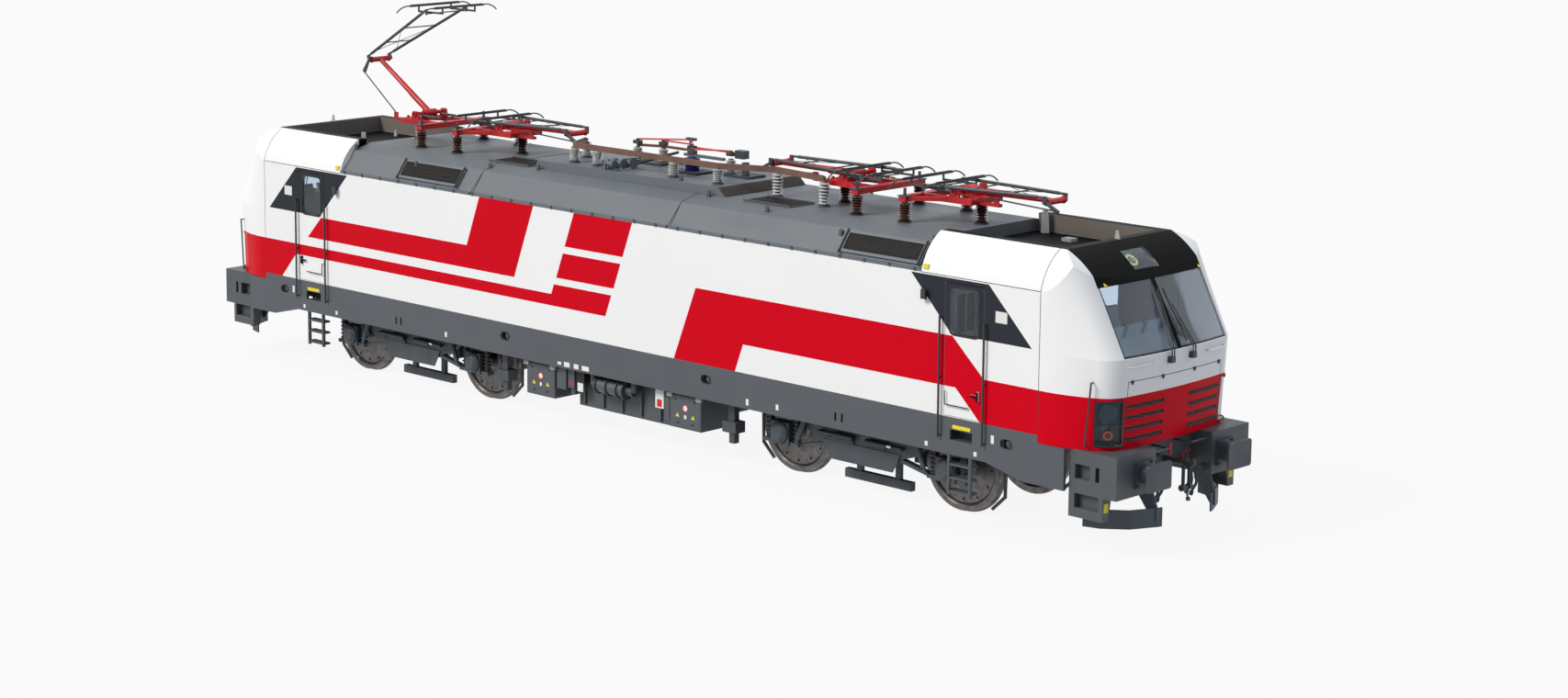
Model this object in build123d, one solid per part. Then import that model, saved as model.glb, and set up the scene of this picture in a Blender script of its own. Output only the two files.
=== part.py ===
from build123d import *
import math
import os

# Electric locomotive with two bogies and four single-arm pantographs.
# Millimetres. +X runs along the loco, +Z is up, and the floor is under the wheel flanges.

# Track and wheels
FLANGE_H = 28            # how far the flange reaches below the tread
WHEEL_R = 625            # tread radius
WHEEL_Z = FLANGE_H + WHEEL_R
WHEEL_GAP = 1360         # back to back
TYRE_W = 135
AXLE_R = 92
JOURNAL_R = 80
JOURNAL_END = 1150       # end of the axle, from the middle
WHEELBASE = 3000
BOGIE_X = 4750           # pivot from the middle of the loco

# Body
HALF_W = 1506
WALL = 60
SKIRT_Z = 980            # lower edge of the skirt
SILL_Z = 1484            # floor, and lower edge of the side wall
EAVE_Z = 3350            # upper edge of the side wall
FLOOR_T = 100
SKIRT_T = 50
ROOF_END_X = 6055        # where the middle roof meets the cab roof
SEAM_X = 8030            # where the side wall meets the nose
CAB_TOP_Z = 3860
RECESS_Z = 3620          # floor of the trough in the cab roof
RECESS_HALF_W = 950
RECESS_END_X = 8000
BUMP_X = 1390            # a point of the curved shoulder of the cab roof
BUMP_Z = 3615
CROWN_HALF_W = 1120
JOIN = 0.3               # clearance where two curved faces meet

# Middle roof
ROOF_KNEE_Y = 1215
ROOF_KNEE_Z = 3700
ROOF_FLAT_Y = 900
ROOF_TOP_Z = 3790
ROOF_T = 50
GRILLE_L = 1440          # air grille on the slope
PLAT_X0, PLAT_X1 = -2150, 1850
PLAT_HALF_W = 860
PLAT_TOP_Z = 3920
GUTTERS = ((-6055, -2950), (-2900, 1300), (1350, 6055))    # lengths of the rain strip

# Nose
NOSE_BOTTOM_Z = 1384
NOSE_X_BOTTOM = 9060
NOSE_X_SILL = 9130       # foot of the windscreen
SCREEN_Z0 = 2560
SCREEN_Z1 = 3430
SCREEN_TOP_X = 8654
SCREEN_HALF_W = 1080
MULLION = 70
NOSE_T = 55
GLASS_T = 18
GLASS_GAP = 0.3
LAMP_X, LAMP_Y, LAMP_Z = 8950, 1235, 1735       # corner headlamps
LAMP_D, LAMP_W, LAMP_H = 320, 380, 580
SLOT_Y0, SLOT_Y1 = 270, 1000
SLOT_Z0, SLOT_STEP, SLOT_H = 1490, 142, 30
TOP_LAMP_X0, TOP_LAMP_X1 = 8180, 8640
TOP_LAMP_Z0, TOP_LAMP_Z1 = 3540, 3770
TOP_LAMP_HALF_W = 250

# Doors, given for the end at +X
DOOR_X0, DOOR_X1 = 6480, 7120
DOOR_Z0, DOOR_Z1 = 1500, 3270
DOOR_T = 45
DOOR_GAP = 8
HINGE_IN = 14            # the hinge line lies this far inside the leaf
HINGE_Z = (1650, 2400, 3100)
PIN_R = 4
WIN_X0, WIN_X1 = 6565, 7035
WIN_Z0, WIN_Z1 = 2600, 3215

# Camera pods beside the doors
POD_X, POD_Z = 6150, 3075

# Ends
BUFFER_X = 9490          # face of the buffers
BUFFER_Y = 875
BUFFER_Z = FLANGE_H + 1060
BUFFER_W, BUFFER_H = 500, 360
BOX_X0, BOX_X1 = 8490, 9230
BOX_Y0, BOX_Y1 = 610, 1430
BOX_Z0 = 820
STEP_X1 = 9020           # the step under the box is shorter
STEP_DEPTH = 130
BEAM_X0, BEAM_X1 = 8820, 8900
PLOUGH_X = 9290
HOSE_X, HOSE_Z = 9060, 1010
HOSE_R = 19

# Pantograph, in its own plane: u runs outwards from the foot hinge, w up from it
PAN_HINGE_X = 5600       # outer ones; the inner ones mirror about PAN_MIRROR_X
PAN_MIRROR_X = 4600
PAN_HINGE_Z = 4240
PAN_BASE_Z = 4160        # top of the base frame
PAN_BEAM_H = 80
PAN_PAIR_U = -570        # the pair of insulators
PAN_PAIR_Y = 660
PAN_SINGLE_U = 230
ARM_LOW = 1460
ARM_UP = 1900
HEAD_HALF_L = 800
STRIP_GAP = 580
PAN_RAISE = 32.0         # how far the raised one stands up
CRANK_U, CRANK_W = 215, -110
ROD_FOOT_U, ROD_FOOT_W = 640, -60
UP_RATIO = 0.87          # the upper arm's own angle for one degree of the lower arm
ROD_RATIO = 1.24


def box(x0, x1, y0, y1, z0, z1):
    """Block between two corners."""
    return Pos((x0 + x1) / 2, (y0 + y1) / 2, (z0 + z1) / 2) * Box(abs(x1 - x0), abs(y1 - y0), abs(z1 - z0))


def side_prism(points, y0, y1):
    """Outline of (x, z) points, drawn from y0 to y1."""
    face = make_face(Polyline([(x, y0, z) for x, z in points], close=True))
    return extrude(face, amount=y1 - y0, dir=(0, 1, 0))


def end_prism(points, x0, x1):
    """Outline of (y, z) points, drawn from x0 to x1."""
    face = make_face(Polyline([(x0, y, z) for y, z in points], close=True))
    return extrude(face, amount=x1 - x0, dir=(1, 0, 0))


def slant(xa, ya, xb, yb, width, z0, z1):
    """Upright flat bar that runs level from one place to another."""
    length = math.hypot(xb - xa, yb - ya)
    angle = math.degrees(math.atan2(yb - ya, xb - xa))
    return Pos((xa + xb) / 2, (ya + yb) / 2, (z0 + z1) / 2) * Rot(0, 0, angle) * Box(length, width, z1 - z0)


def rod(p, q, r):
    """Round bar between two points."""
    p, q = Vector(*p), Vector(*q)
    return Plane(origin=p, z_dir=q - p) * Cylinder(r, (q - p).length, align=(Align.CENTER, Align.CENTER, Align.MIN))


def lathe(origin, direction, profile):
    """Turned piece: profile of (distance along the axis, radius) points about an axis."""
    plane = Plane(origin=origin, z_dir=direction)
    face = make_face(Polyline([(r, 0, a) for a, r in profile], close=True))
    return plane * revolve(face, Axis.Z)


def fused(first, *others):
    """One solid from pieces that touch."""
    result = first
    for other in others:
        result = result + other
    return result


def both_sides(solids):
    """The pieces and their mirror images across the loco's middle plane."""
    return list(solids) + [mirror(s, Plane.XZ) for s in solids]


def both_ends(solids):
    """The pieces of the end at +X, and those of the other end."""
    return list(solids) + [Rot(0, 0, 180) * s for s in solids]


def save(name, solids):
    """Write one node."""
    flat = [s for piece in solids for s in piece.solids()]
    shape = flat[0] if len(flat) == 1 else Compound(children=flat)
    export_step(shape, f"parts/{name}.step")


# Body shell

def body_outline(inset, z0):
    """Section of the cab: upright sides, round shoulders and a low crown."""
    hw = HALF_W - inset
    return [
        Line((0, -hw, z0), (0, -hw, EAVE_Z)),
        ThreePointArc((0, -hw, EAVE_Z), (0, inset - BUMP_X, BUMP_Z - inset), (0, inset - CROWN_HALF_W, CAB_TOP_Z - inset)),
        Line((0, inset - CROWN_HALF_W, CAB_TOP_Z - inset), (0, CROWN_HALF_W - inset, CAB_TOP_Z - inset)),
        ThreePointArc((0, CROWN_HALF_W - inset, CAB_TOP_Z - inset), (0, BUMP_X - inset, BUMP_Z - inset), (0, hw, EAVE_Z)),
        Line((0, hw, EAVE_Z), (0, hw, z0)),
        Line((0, hw, z0), (0, -hw, z0)),
    ]


def body_prism(inset, z0, x0, x1):
    """Length of the cab's section."""
    face = make_face(body_outline(inset, z0))
    return Pos(x0, 0, 0) * extrude(face, amount=x1 - x0, dir=(1, 0, 0))


def nose_plan(z, front_x, inset):
    """Level section of the nose: gentle sides, tight corners and a nearly flat front."""
    scale = (front_x - SEAM_X) / (NOSE_X_SILL - SEAM_X)
    hw = HALF_W - inset

    def at(x, y):
        return (SEAM_X + (x - SEAM_X) * scale - inset * (x - SEAM_X) / (NOSE_X_SILL - SEAM_X), y, z)

    back = SEAM_X
    near_side = ThreePointArc((back, -hw, z), at(8430, inset - 1475), at(8800, inset - 1360))
    near_corner = ThreePointArc(at(8800, inset - 1360), at(8975, inset - 1250), at(9065, inset - 1080))
    front = ThreePointArc(at(9065, inset - 1080), at(NOSE_X_SILL, 0), at(9065, 1080 - inset))
    far_corner = ThreePointArc(at(9065, 1080 - inset), at(8975, 1250 - inset), at(8800, 1360 - inset))
    far_side = ThreePointArc(at(8800, 1360 - inset), at(8430, 1475 - inset), (back, hw, z))
    return make_face([near_side, near_corner, front, far_corner, far_side, Line((back, hw, z), (back, -hw, z))])


def nose_front_x(z):
    """Where the front face is at the height z, below the roof's curve."""
    if z <= SCREEN_Z0:
        return NOSE_X_BOTTOM + (NOSE_X_SILL - NOSE_X_BOTTOM) * (z - NOSE_BOTTOM_Z) / (SCREEN_Z0 - NOSE_BOTTOM_Z)
    return NOSE_X_SILL - (NOSE_X_SILL - SCREEN_TOP_X) * (z - SCREEN_Z0) / (SCREEN_Z1 - SCREEN_Z0)


def nose_solid(inset, z0):
    """Nose as a full body, moved inwards by inset."""
    top = CAB_TOP_Z + 60
    lower = loft([nose_plan(z, nose_front_x(z), inset) for z in (z0, SCREEN_Z0)], ruled=True)
    upper = loft([nose_plan(z, nose_front_x(z), inset) for z in (SCREEN_Z0, top)], ruled=True)
    # roof line in side view, from the head of the screen back to the cab roof
    brow = [(SCREEN_TOP_X - inset, SCREEN_Z1), (8467 - inset, 3640 - inset / 2), (8130 - inset, CAB_TOP_Z - inset)]
    arc = ThreePointArc(*[(x, -HALF_W, z) for x, z in brow])
    rest = Polyline((8130 - inset, -HALF_W, CAB_TOP_Z - inset), (SEAM_X - 10, -HALF_W, CAB_TOP_Z - inset), (SEAM_X - 10, -HALF_W, z0),
                    (NOSE_X_SILL + 50, -HALF_W, z0), (NOSE_X_SILL + 50, -HALF_W, SCREEN_Z1),
                    (SCREEN_TOP_X - inset, -HALF_W, SCREEN_Z1))
    side = extrude(make_face(arc.edges() + rest.edges()), amount=2 * HALF_W, dir=(0, 1, 0))
    return (lower + upper) & side & body_prism(inset, z0, SEAM_X - 10, NOSE_X_SILL + 60)


def screen_panes(out):
    """Space of the two windscreen panes, with out added or taken off round each."""
    z0, z1 = SCREEN_Z0 + 20 - out, SCREEN_Z1 - 10 + out
    y0, y1 = MULLION / 2 - out, SCREEN_HALF_W + out
    return [box(SEAM_X + 200, NOSE_X_SILL + 100, s * y0, s * y1, z0, z1) for s in (-1, 1)]


def make_nose():
    """Nose shell with the screen, the headlamp pockets and the air slots cut."""
    outer = nose_solid(0, NOSE_BOTTOM_Z)
    shell = outer - nose_solid(NOSE_T, NOSE_BOTTOM_Z)
    for pane in screen_panes(0):
        shell = shell - pane
    for s in (-1, 1):
        for row in range(4):
            z = SLOT_Z0 + SLOT_STEP * row
            shell = shell - box(8900, 9200, s * SLOT_Y0, s * SLOT_Y1, z, z + SLOT_H)
        shell = shell - lamp_space(s)
    return (shell - top_lamp_space(0)).solids()


def top_lamp_space(gap):
    """Window of the upper headlamp, in the black panel over the screens."""
    return box(TOP_LAMP_X0, TOP_LAMP_X1, gap - TOP_LAMP_HALF_W, TOP_LAMP_HALF_W - gap, TOP_LAMP_Z0 + gap, TOP_LAMP_Z1 - gap)


def top_lamp_piece():
    """Pane of the upper headlamp."""
    return ((nose_solid(4, NOSE_BOTTOM_Z) - nose_solid(20, NOSE_BOTTOM_Z - 1)) & top_lamp_space(GLASS_GAP)).solids()


def lamp_space(s):
    """Upright window of the corner headlamp, cut square to the corner."""
    return Pos(LAMP_X, s * LAMP_Y, LAMP_Z) * Rot(0, 0, s * 45) * Box(LAMP_D, LAMP_W, LAMP_H)


def lamp_piece(s):
    """Headlamp: the corner's own skin, set back a little."""
    window = Pos(LAMP_X, s * LAMP_Y, LAMP_Z) * Rot(0, 0, s * 45) * Box(LAMP_D, LAMP_W - 2 * GLASS_GAP, LAMP_H - 2 * GLASS_GAP)
    skin = nose_solid(6, NOSE_BOTTOM_Z) - nose_solid(NOSE_T - 10, NOSE_BOTTOM_Z - 1)
    return (skin & window).solids()


def make_windscreen():
    """Two panes that follow the front's curve."""
    skin = nose_solid(8, NOSE_BOTTOM_Z) - nose_solid(8 + GLASS_T, NOSE_BOTTOM_Z - 1)
    panes = []
    for pane in screen_panes(-GLASS_GAP):
        panes += (skin & pane).solids()
    return panes


def make_cab_roof():
    """Cab roof with the trough under the folded pantograph."""
    shell = body_prism(0, SILL_Z, ROOF_END_X, SEAM_X) - body_prism(WALL, SILL_Z - 1, ROOF_END_X - 1, SEAM_X + 1)
    shell = shell - box(ROOF_END_X - 1, SEAM_X + 1, -HALF_W - 1, HALF_W + 1, SILL_Z - 1, EAVE_Z)
    shell = shell + box(ROOF_END_X, SEAM_X, -RECESS_HALF_W - 40, RECESS_HALF_W + 40, RECESS_Z - 40, CAB_TOP_Z - 10)
    return (shell - box(ROOF_END_X - 1, RECESS_END_X, -RECESS_HALF_W, RECESS_HALF_W, RECESS_Z, CAB_TOP_Z + 50)).solids()


def make_side_walls():
    """Side walls with the door openings of both ends."""
    wall = box(-SEAM_X, SEAM_X, -HALF_W, -HALF_W + WALL, SILL_Z, EAVE_Z)
    for s in (-1, 1):
        wall = wall - box(s * (DOOR_X0 - DOOR_GAP), s * (DOOR_X1 + DOOR_GAP), -HALF_W - 1, -HALF_W + WALL + 1,
                          DOOR_Z0 - DOOR_GAP, DOOR_Z1 + DOOR_GAP)
    for s in (-1, 1):
        x, y = s * DOOR_X0, DOOR_T + HINGE_IN - HALF_W
        for z in HINGE_Z:
            wall = wall + rod((x, y, z - 45), (x, y, z + 45), PIN_R)
            for z0 in (z - 45, z + 33):
                wall = wall + box(x + s * 8, x - s * (DOOR_GAP + 20), y - 8, y + 8, z0, z0 + 12)
    return both_sides(wall.solids())


def roof_section(t):
    """Section of the middle roof, moved inwards by t."""
    return [(-HALF_W + 30 + t, EAVE_Z), (-ROOF_KNEE_Y + t, ROOF_KNEE_Z - t / 3), (-ROOF_FLAT_Y + t / 2, ROOF_TOP_Z - t),
            (ROOF_FLAT_Y - t / 2, ROOF_TOP_Z - t), (ROOF_KNEE_Y - t, ROOF_KNEE_Z - t / 3), (HALF_W - 30 - t, EAVE_Z)]


def make_middle_roof():
    """Middle roof as a trough-shaped shell, with the raised platform."""
    shell = end_prism(roof_section(0), -ROOF_END_X, ROOF_END_X)
    inner = [(y, EAVE_Z - 1 if z == EAVE_Z else z) for y, z in roof_section(ROOF_T)]
    shell = shell - end_prism(inner, -ROOF_END_X - 1, ROOF_END_X + 1)
    top = side_prism([(PLAT_X0, ROOF_TOP_Z - 10), (PLAT_X0 + 60, PLAT_TOP_Z), (PLAT_X1 - 150, PLAT_TOP_Z), (PLAT_X1, ROOF_TOP_Z - 10)],
                     -PLAT_HALF_W, PLAT_HALF_W)
    roof = shell + top
    for s in (-1, 1):
        roof = roof + end_prism(roof_section(0), s * (ROOF_END_X - ROOF_T), s * ROOF_END_X)
    for x0, x1 in GUTTERS:
        for s in (-1, 1):
            roof = roof + box(x0, x1, s * HALF_W, s * (HALF_W - 50), EAVE_Z, EAVE_Z + 40)
    return roof.solids()


def slope_panel(x0, x1, share0, share1, thick, lift):
    """Flat panel on the roof's slope, between two shares of the slope's height."""
    y0, z0 = -HALF_W + 30, EAVE_Z
    dy, dz = -ROOF_KNEE_Y - y0, ROOF_KNEE_Z - z0
    length = math.hypot(dy, dz)
    ny, nz = -dz / length, dy / length
    a = (y0 + dy * share0 + ny * lift, z0 + dz * share0 + nz * lift)
    b = (y0 + dy * share1 + ny * lift, z0 + dz * share1 + nz * lift)
    points = [a, b, (b[0] + ny * thick, b[1] + nz * thick), (a[0] + ny * thick, a[1] + nz * thick)]
    return end_prism(points, x0, x1)


def make_roof_grilles():
    """Air grilles: slatted panels on the slope near the ends, and flat ones on the top."""
    panels = []
    for x0 in (-4720, 4540):
        panel = slope_panel(x0, x0 + GRILLE_L, 0.18, 0.95, 34, 0)
        panels.append(panel - slope_panel(x0 + 60, x0 + GRILLE_L - 60, 0.28, 0.86, 30, 10))
    flats = [box(x, x + 900, -900, -400, ROOF_TOP_Z, ROOF_TOP_Z + 14) for x in (-3150, 2250)]
    return both_ends(panels) + flats


def make_underframe():
    """Floor, end beams, buffer boxes and the pivot pins."""
    frame = box(-SEAM_X, SEAM_X, -HALF_W + WALL, HALF_W - WALL, SILL_Z - FLOOR_T, SILL_Z)
    cab_floor = nose_solid(NOSE_T + 1, NOSE_BOTTOM_Z) & box(SEAM_X, NOSE_X_SILL, -HALF_W, HALF_W, SILL_Z - FLOOR_T, SILL_Z)
    ends = [cab_floor, Rot(0, 0, 180) * cab_floor]
    for s in (-1, 1):
        ends.append(box(s * BEAM_X0, s * BEAM_X1, -BOX_Y1, BOX_Y1, 950, SILL_Z - FLOOR_T))
        for side in (-1, 1):
            corner = box(s * BOX_X0, s * BOX_X1, side * BOX_Y0, side * BOX_Y1, BOX_Z0, SILL_Z - FLOOR_T)
            foot = end_prism([(side * BOX_Y1, 505), (side * (BOX_Y1 - STEP_DEPTH), 505), (side * (BOX_Y1 - STEP_DEPTH - 60), BOX_Z0),
                              (side * BOX_Y1, BOX_Z0)], s * BOX_X0, s * STEP_X1)
            for z in (630, 1010):
                hole = box(s * 8580, s * 8960, side * (BOX_Y1 + 1), side * (BOX_Y1 - STEP_DEPTH + 30), z, z + 190)
                corner, foot = corner - hole, foot - hole
            ends.append(fused(corner, foot))
        ends.append(rod((s * BOGIE_X, 0, 640), (s * BOGIE_X, 0, SILL_Z - FLOOR_T), 110))
        ends.append(box(s * (BOGIE_X - 260), s * (BOGIE_X + 260), -300, 300, 1240, SILL_Z - FLOOR_T))
    return fused(frame, *ends).solids()


def make_skirts():
    """Side skirts with the deeper ends, the jacking holes and the step pockets."""
    outline = [(-SEAM_X - 430, 830), (-7800, 830), (-7180, SKIRT_Z), (7180, SKIRT_Z), (7800, 830), (SEAM_X + 430, 830),
               (SEAM_X + 430, NOSE_BOTTOM_Z - 4), (SEAM_X, NOSE_BOTTOM_Z - 4), (SEAM_X, SILL_Z), (-SEAM_X, SILL_Z),
               (-SEAM_X, NOSE_BOTTOM_Z - 4), (-SEAM_X - 430, NOSE_BOTTOM_Z - 4)]
    skirt = side_prism(outline, -HALF_W, -HALF_W + SKIRT_T)
    for s in (-1, 1):
        for x in (2125, 7530):
            hole = Pos(s * x, -HALF_W, 1275) * Rot(90, 0, 0) * extrude(SlotOverall(210, 130), amount=100, both=True)
            skirt = skirt - hole
        skirt = skirt - box(s * 6590, s * 6960, -HALF_W - 1, -HALF_W + 51, 1180, 1320)
        for x in (4560, 4680):
            skirt = skirt - box(s * x, s * (x + 35), -HALF_W - 1, -HALF_W + 51, 1090, 1210)
    return both_sides(skirt.solids())


def make_steps():
    """Ladders under the doors."""
    ladders = []
    for s in (-1, 1):
        x0, x1 = s * 6545, s * 6945
        rails = [box(x, x + 40 * (1 if x < (x0 + x1) / 2 else -1), -HALF_W + 6, -HALF_W + 48, 440, SKIRT_Z) for x in (x0, x1)]
        rungs = [box(x0, x1, -HALF_W + 10, -HALF_W + 150, z, z + 30) for z in (470, 650, 830)]
        ladders.append(fused(rails[0], rails[1], *rungs))
    return both_sides(ladders)


def make_rail_guards():
    """Plough plates under the end beams, swept back to the sides."""
    plates = []
    for s in (-1, 1):
        plan = [(PLOUGH_X, -530), (PLOUGH_X - 20, -600), (PLOUGH_X - 190, -960), (PLOUGH_X - 470, -1190), (PLOUGH_X - 700, -1255)]
        blade = fused(*[slant(s * xa, ya, s * xb, yb, 20, 350, 600) for (xa, ya), (xb, yb) in zip(plan, plan[1:])],
                      *[Pos(s * x, y, 475) * Cylinder(10, 250) for x, y in plan[1:-1]])
        leg = side_prism([(s * (BOX_X1 - 300), BOX_Z0), (s * (BOX_X1 - 20), BOX_Z0), (s * PLOUGH_X, 600), (s * PLOUGH_X, 420),
                          (s * (PLOUGH_X - 60), 420)], -640, -615)
        back = box(s * (PLOUGH_X - 490), s * (PLOUGH_X - 450), -1225, -1185, 420, BOX_Z0)
        plates.append(fused(blade, leg, back))
    return both_sides(plates)


def make_buffers():
    """Rectangular buffer heads on round plungers."""
    pieces = []
    for s in (-1, 1):
        for side in (-1, 1):
            y = side * BUFFER_Y
            base = box(s * BOX_X1, s * (BOX_X1 + 30), y - 170, y + 170, BUFFER_Z - 170, BUFFER_Z + 170)
            barrel = rod((s * (BOX_X1 + 20), y, BUFFER_Z), (s * (BUFFER_X - 90), y, BUFFER_Z), 120)
            plunger = rod((s * (BUFFER_X - 100), y, BUFFER_Z), (s * (BUFFER_X - 20), y, BUFFER_Z), 95)
            plate = Pos(s * (BUFFER_X - 30), y, BUFFER_Z) * Rot(0, 90, 0) * extrude(
                RectangleRounded(BUFFER_H, BUFFER_W, 40), amount=30, dir=(0, 0, s))
            pieces.append(fused(base, barrel, plunger, plate))
    return pieces


def make_draw_gear():
    """Draw hook with its screw coupling hanging down."""
    pieces = []
    for s in (-1, 1):
        stem = rod((s * BEAM_X1, 0, BUFFER_Z), (s * 9250, 0, BUFFER_Z), 40)
        hook = side_prism([(s * 9230, 1040), (s * 9340, 1030), (s * 9400, 1080), (s * 9400, 1160), (s * 9360, 1160),
                           (s * 9355, 1110), (s * 9300, 1110), (s * 9290, 1150), (s * 9230, 1150)], -30, 30)
        links = [box(s * 9250, s * 9290, y, y + 24, 760, 1060) for y in (-75, 51)]
        pin = rod((s * 9270, -90, 1060), (s * 9270, 90, 1060), 22)
        screw = rod((s * 9270, -110, 770), (s * 9270, 110, 770), 26)
        pieces.append(fused(stem, hook, pin, screw, *links))
    return pieces + both_ends(make_hoses())


def make_hoses():
    """Brake hoses that hang from their cocks on the beam, at the end at +X."""
    hoses = []
    for y, drop in ((-420, 300), (-320, 260), (320, 260), (420, 300)):
        start, low, tip = (HOSE_X, y, HOSE_Z), (HOSE_X + 70, y, HOSE_Z - drop), (HOSE_X + 10, y, HOSE_Z - drop - 110)
        path = Spline(start, (HOSE_X + 60, y, HOSE_Z - 90), low, tip, tangents=[(1, 0, 0), (-0.4, 0, -1)])
        hose = sweep(Plane(origin=path @ 0, z_dir=path % 0) * Circle(HOSE_R), path)
        cock = rod((BEAM_X1, y, HOSE_Z), (HOSE_X + 5, y, HOSE_Z), HOSE_R + 8)
        head = rod(tip, (tip[0] - 16, y, tip[2] - 45), HOSE_R + 9)
        hoses.append(fused(cock, hose, head))
    return hoses


# Doors, with their own hinges

def make_door(sx, sy):
    """Door leaf with its window opening and lever, for one corner of the loco."""
    leaf = box(DOOR_X0, DOOR_X1, -HALF_W, -HALF_W + DOOR_T, DOOR_Z0, DOOR_Z1)
    window = Pos((WIN_X0 + WIN_X1) / 2, -HALF_W, (WIN_Z0 + WIN_Z1) / 2) * Rot(90, 0, 0) * extrude(
        RectangleRounded(WIN_X1 - WIN_X0, WIN_Z1 - WIN_Z0, 60), amount=80, both=True)
    leaf = leaf - window
    lever = box(7040, 7070, -HALF_W - 35, -HALF_W, 1760, 1890) + box(6940, 7055, -HALF_W - 35, -HALF_W - 17, 1815, 1840)
    hinge_y = DOOR_T + HINGE_IN - HALF_W
    for z in HINGE_Z:
        knuckle = rod((DOOR_X0, hinge_y, z - 31), (DOOR_X0, hinge_y, z + 31), DOOR_GAP - JOIN) + box(DOOR_X0, DOOR_X0 + 30, hinge_y - HINGE_IN, hinge_y, z - 31, z + 31)
        leaf = leaf + (knuckle - rod((DOOR_X0, hinge_y, z - 40), (DOOR_X0, hinge_y, z + 40), PIN_R + JOIN))
    glass = Pos((WIN_X0 + WIN_X1) / 2, -HALF_W + 12, (WIN_Z0 + WIN_Z1) / 2) * Rot(90, 0, 0) * extrude(
        RectangleRounded(WIN_X1 - WIN_X0 - 1, WIN_Z1 - WIN_Z0 - 1, 59), amount=-16)
    grip = fused(rod((6520, -HALF_W - 30, 1650), (6900, -HALF_W - 30, 1650), 8), rod((6520, -HALF_W - 30, 1650), (6508, -HALF_W - 30, 1830), 8),
                 Pos(6520, -HALF_W - 30, 1650) * Sphere(8), *[rod((x, -HALF_W - 30, z), (x, -HALF_W, z), 7) for x, z in ((6508, 1820), (6890, 1650))])
    shapes = [fused(leaf, lever, grip), glass]
    if sx < 0:
        shapes = [mirror(s, Plane.YZ) for s in shapes]
    if sy > 0:
        shapes = [mirror(s, Plane.XZ) for s in shapes]
    return shapes


def make_handrails():
    """Long upright rails beside the doors, and the short ones at the corners."""
    rails = []
    for s in (-1, 1):
        for x in (DOOR_X0 - 62, DOOR_X1 + 42):
            bar = rod((s * x, -HALF_W - 45, 1190), (s * x, -HALF_W - 45, 2820), 15)
            feet = [rod((s * x, -HALF_W - 45, z), (s * x, -HALF_W, z), 11) for z in (1215, 2000, 2795)]
            rails.append(fused(bar, *feet))
        top, foot = (s * 8795, -1425, 2270), (s * 8725, -1440, 1450)
        shell = nose_solid(0, NOSE_BOTTOM_Z) if s > 0 else Rot(0, 0, 180) * nose_solid(0, NOSE_BOTTOM_Z)
        feet = [rod((x, y, z), (x - s * 25, y + 110, z), 9) for x, y, z in (top, foot)]
        rails.append(fused(rod(top, foot, 12), *[Pos(*p) * Sphere(13) for p in (top, foot)], *feet) - shell)
    return both_sides(rails)


def make_mirrors():
    """Camera pods on the side walls, beside the cab doors."""
    pods = []
    for s in (-1, 1):
        arm = rod((s * POD_X, -HALF_W, POD_Z), (s * POD_X, -HALF_W - 40, POD_Z), 18)
        pods.append(fused(arm, box(s * (POD_X - 45), s * (POD_X + 35), -HALF_W - 72, -HALF_W - 35, POD_Z - 70, POD_Z + 60)))
    return both_sides(pods)


# Bogies, each drawn about its pivot and then put in place

def spring(x, y, z0, z1, r, wire):
    """Coil spring drawn as a stack of turns on a core."""
    turns = max(3, int((z1 - z0) / (wire * 2.4)))
    pitch = (z1 - z0) / turns
    core = r - wire
    profile = [(0, 0), (0, core)]
    for i in range(turns):
        mid = pitch * (i + 0.5)
        profile += [(mid - wire * 0.6, core), (mid - wire * 0.35, r), (mid + wire * 0.35, r), (mid + wire * 0.6, core)]
    return lathe((x, y, z0), (0, 0, 1), profile + [(z1 - z0, core), (z1 - z0, 0)])


FRAME_Y = 1075           # middle of a side beam
FRAME_T = 130
SAND_Y = 760             # sand pipes end over the rail
FRAME_Z = 900            # top of the side beam between the axles
BOX_Y = 1010             # inner face of the axle boxes
TRANSOM_Z0, TRANSOM_Z1 = 640, 900
MOTOR_R = 330
MOTOR_CLEAR = 28         # from the axle to the motor
AXLE_U = WHEELBASE / 2
MOTOR_U = AXLE_U - AXLE_R - MOTOR_CLEAR - MOTOR_R - 250
TRANSOM_HALF = MOTOR_U - 450
BRAKE_U1 = AXLE_U - WHEEL_R - FLANGE_H - 27     # the brake stands this far along, clear of the wheel
BRAKE_U0 = BRAKE_U1 - 120


def make_bogie_frame():
    """Two side beams, joined by a cross beam with the pivot's bore."""
    half = [(AXLE_U + 450, FRAME_Z), (AXLE_U + 400, 1060), (AXLE_U - 450, 1060), (AXLE_U - 700, FRAME_Z)]
    belly = [(AXLE_U - 800, 640), (AXLE_U - 600, 700), (AXLE_U - 350, FRAME_Z)]
    beam = side_prism(half + [(-u, z) for u, z in half[::-1] + belly[::-1]] + belly,
                      -FRAME_Y - FRAME_T / 2, -FRAME_Y + FRAME_T / 2)
    beams = both_sides([beam])
    cross = box(-TRANSOM_HALF, TRANSOM_HALF, -FRAME_Y, FRAME_Y, TRANSOM_Z0, TRANSOM_Z1)
    pipes = []
    for s in (-1, 1):
        for side in (-1, 1):
            top = (s * (AXLE_U + 430), side * (FRAME_Y - 40), FRAME_Z + 30)
            knee = (s * (AXLE_U + 700), side * SAND_Y, FRAME_Z - 60)
            ankle = (s * (AXLE_U + 690), side * SAND_Y, 330)
            pipes.append(fused(rod(top, knee, 24), rod(knee, ankle, 24), rod(ankle, (s * (AXLE_U + 480), side * SAND_Y, 130), 24),
                               Pos(*knee) * Sphere(26), Pos(*ankle) * Sphere(26)))
    frame = fused(beams[0], beams[1], cross, *pipes)
    return (frame - Pos(0, 0, 770) * Cylinder(110.4, 400)).solids()


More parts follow.
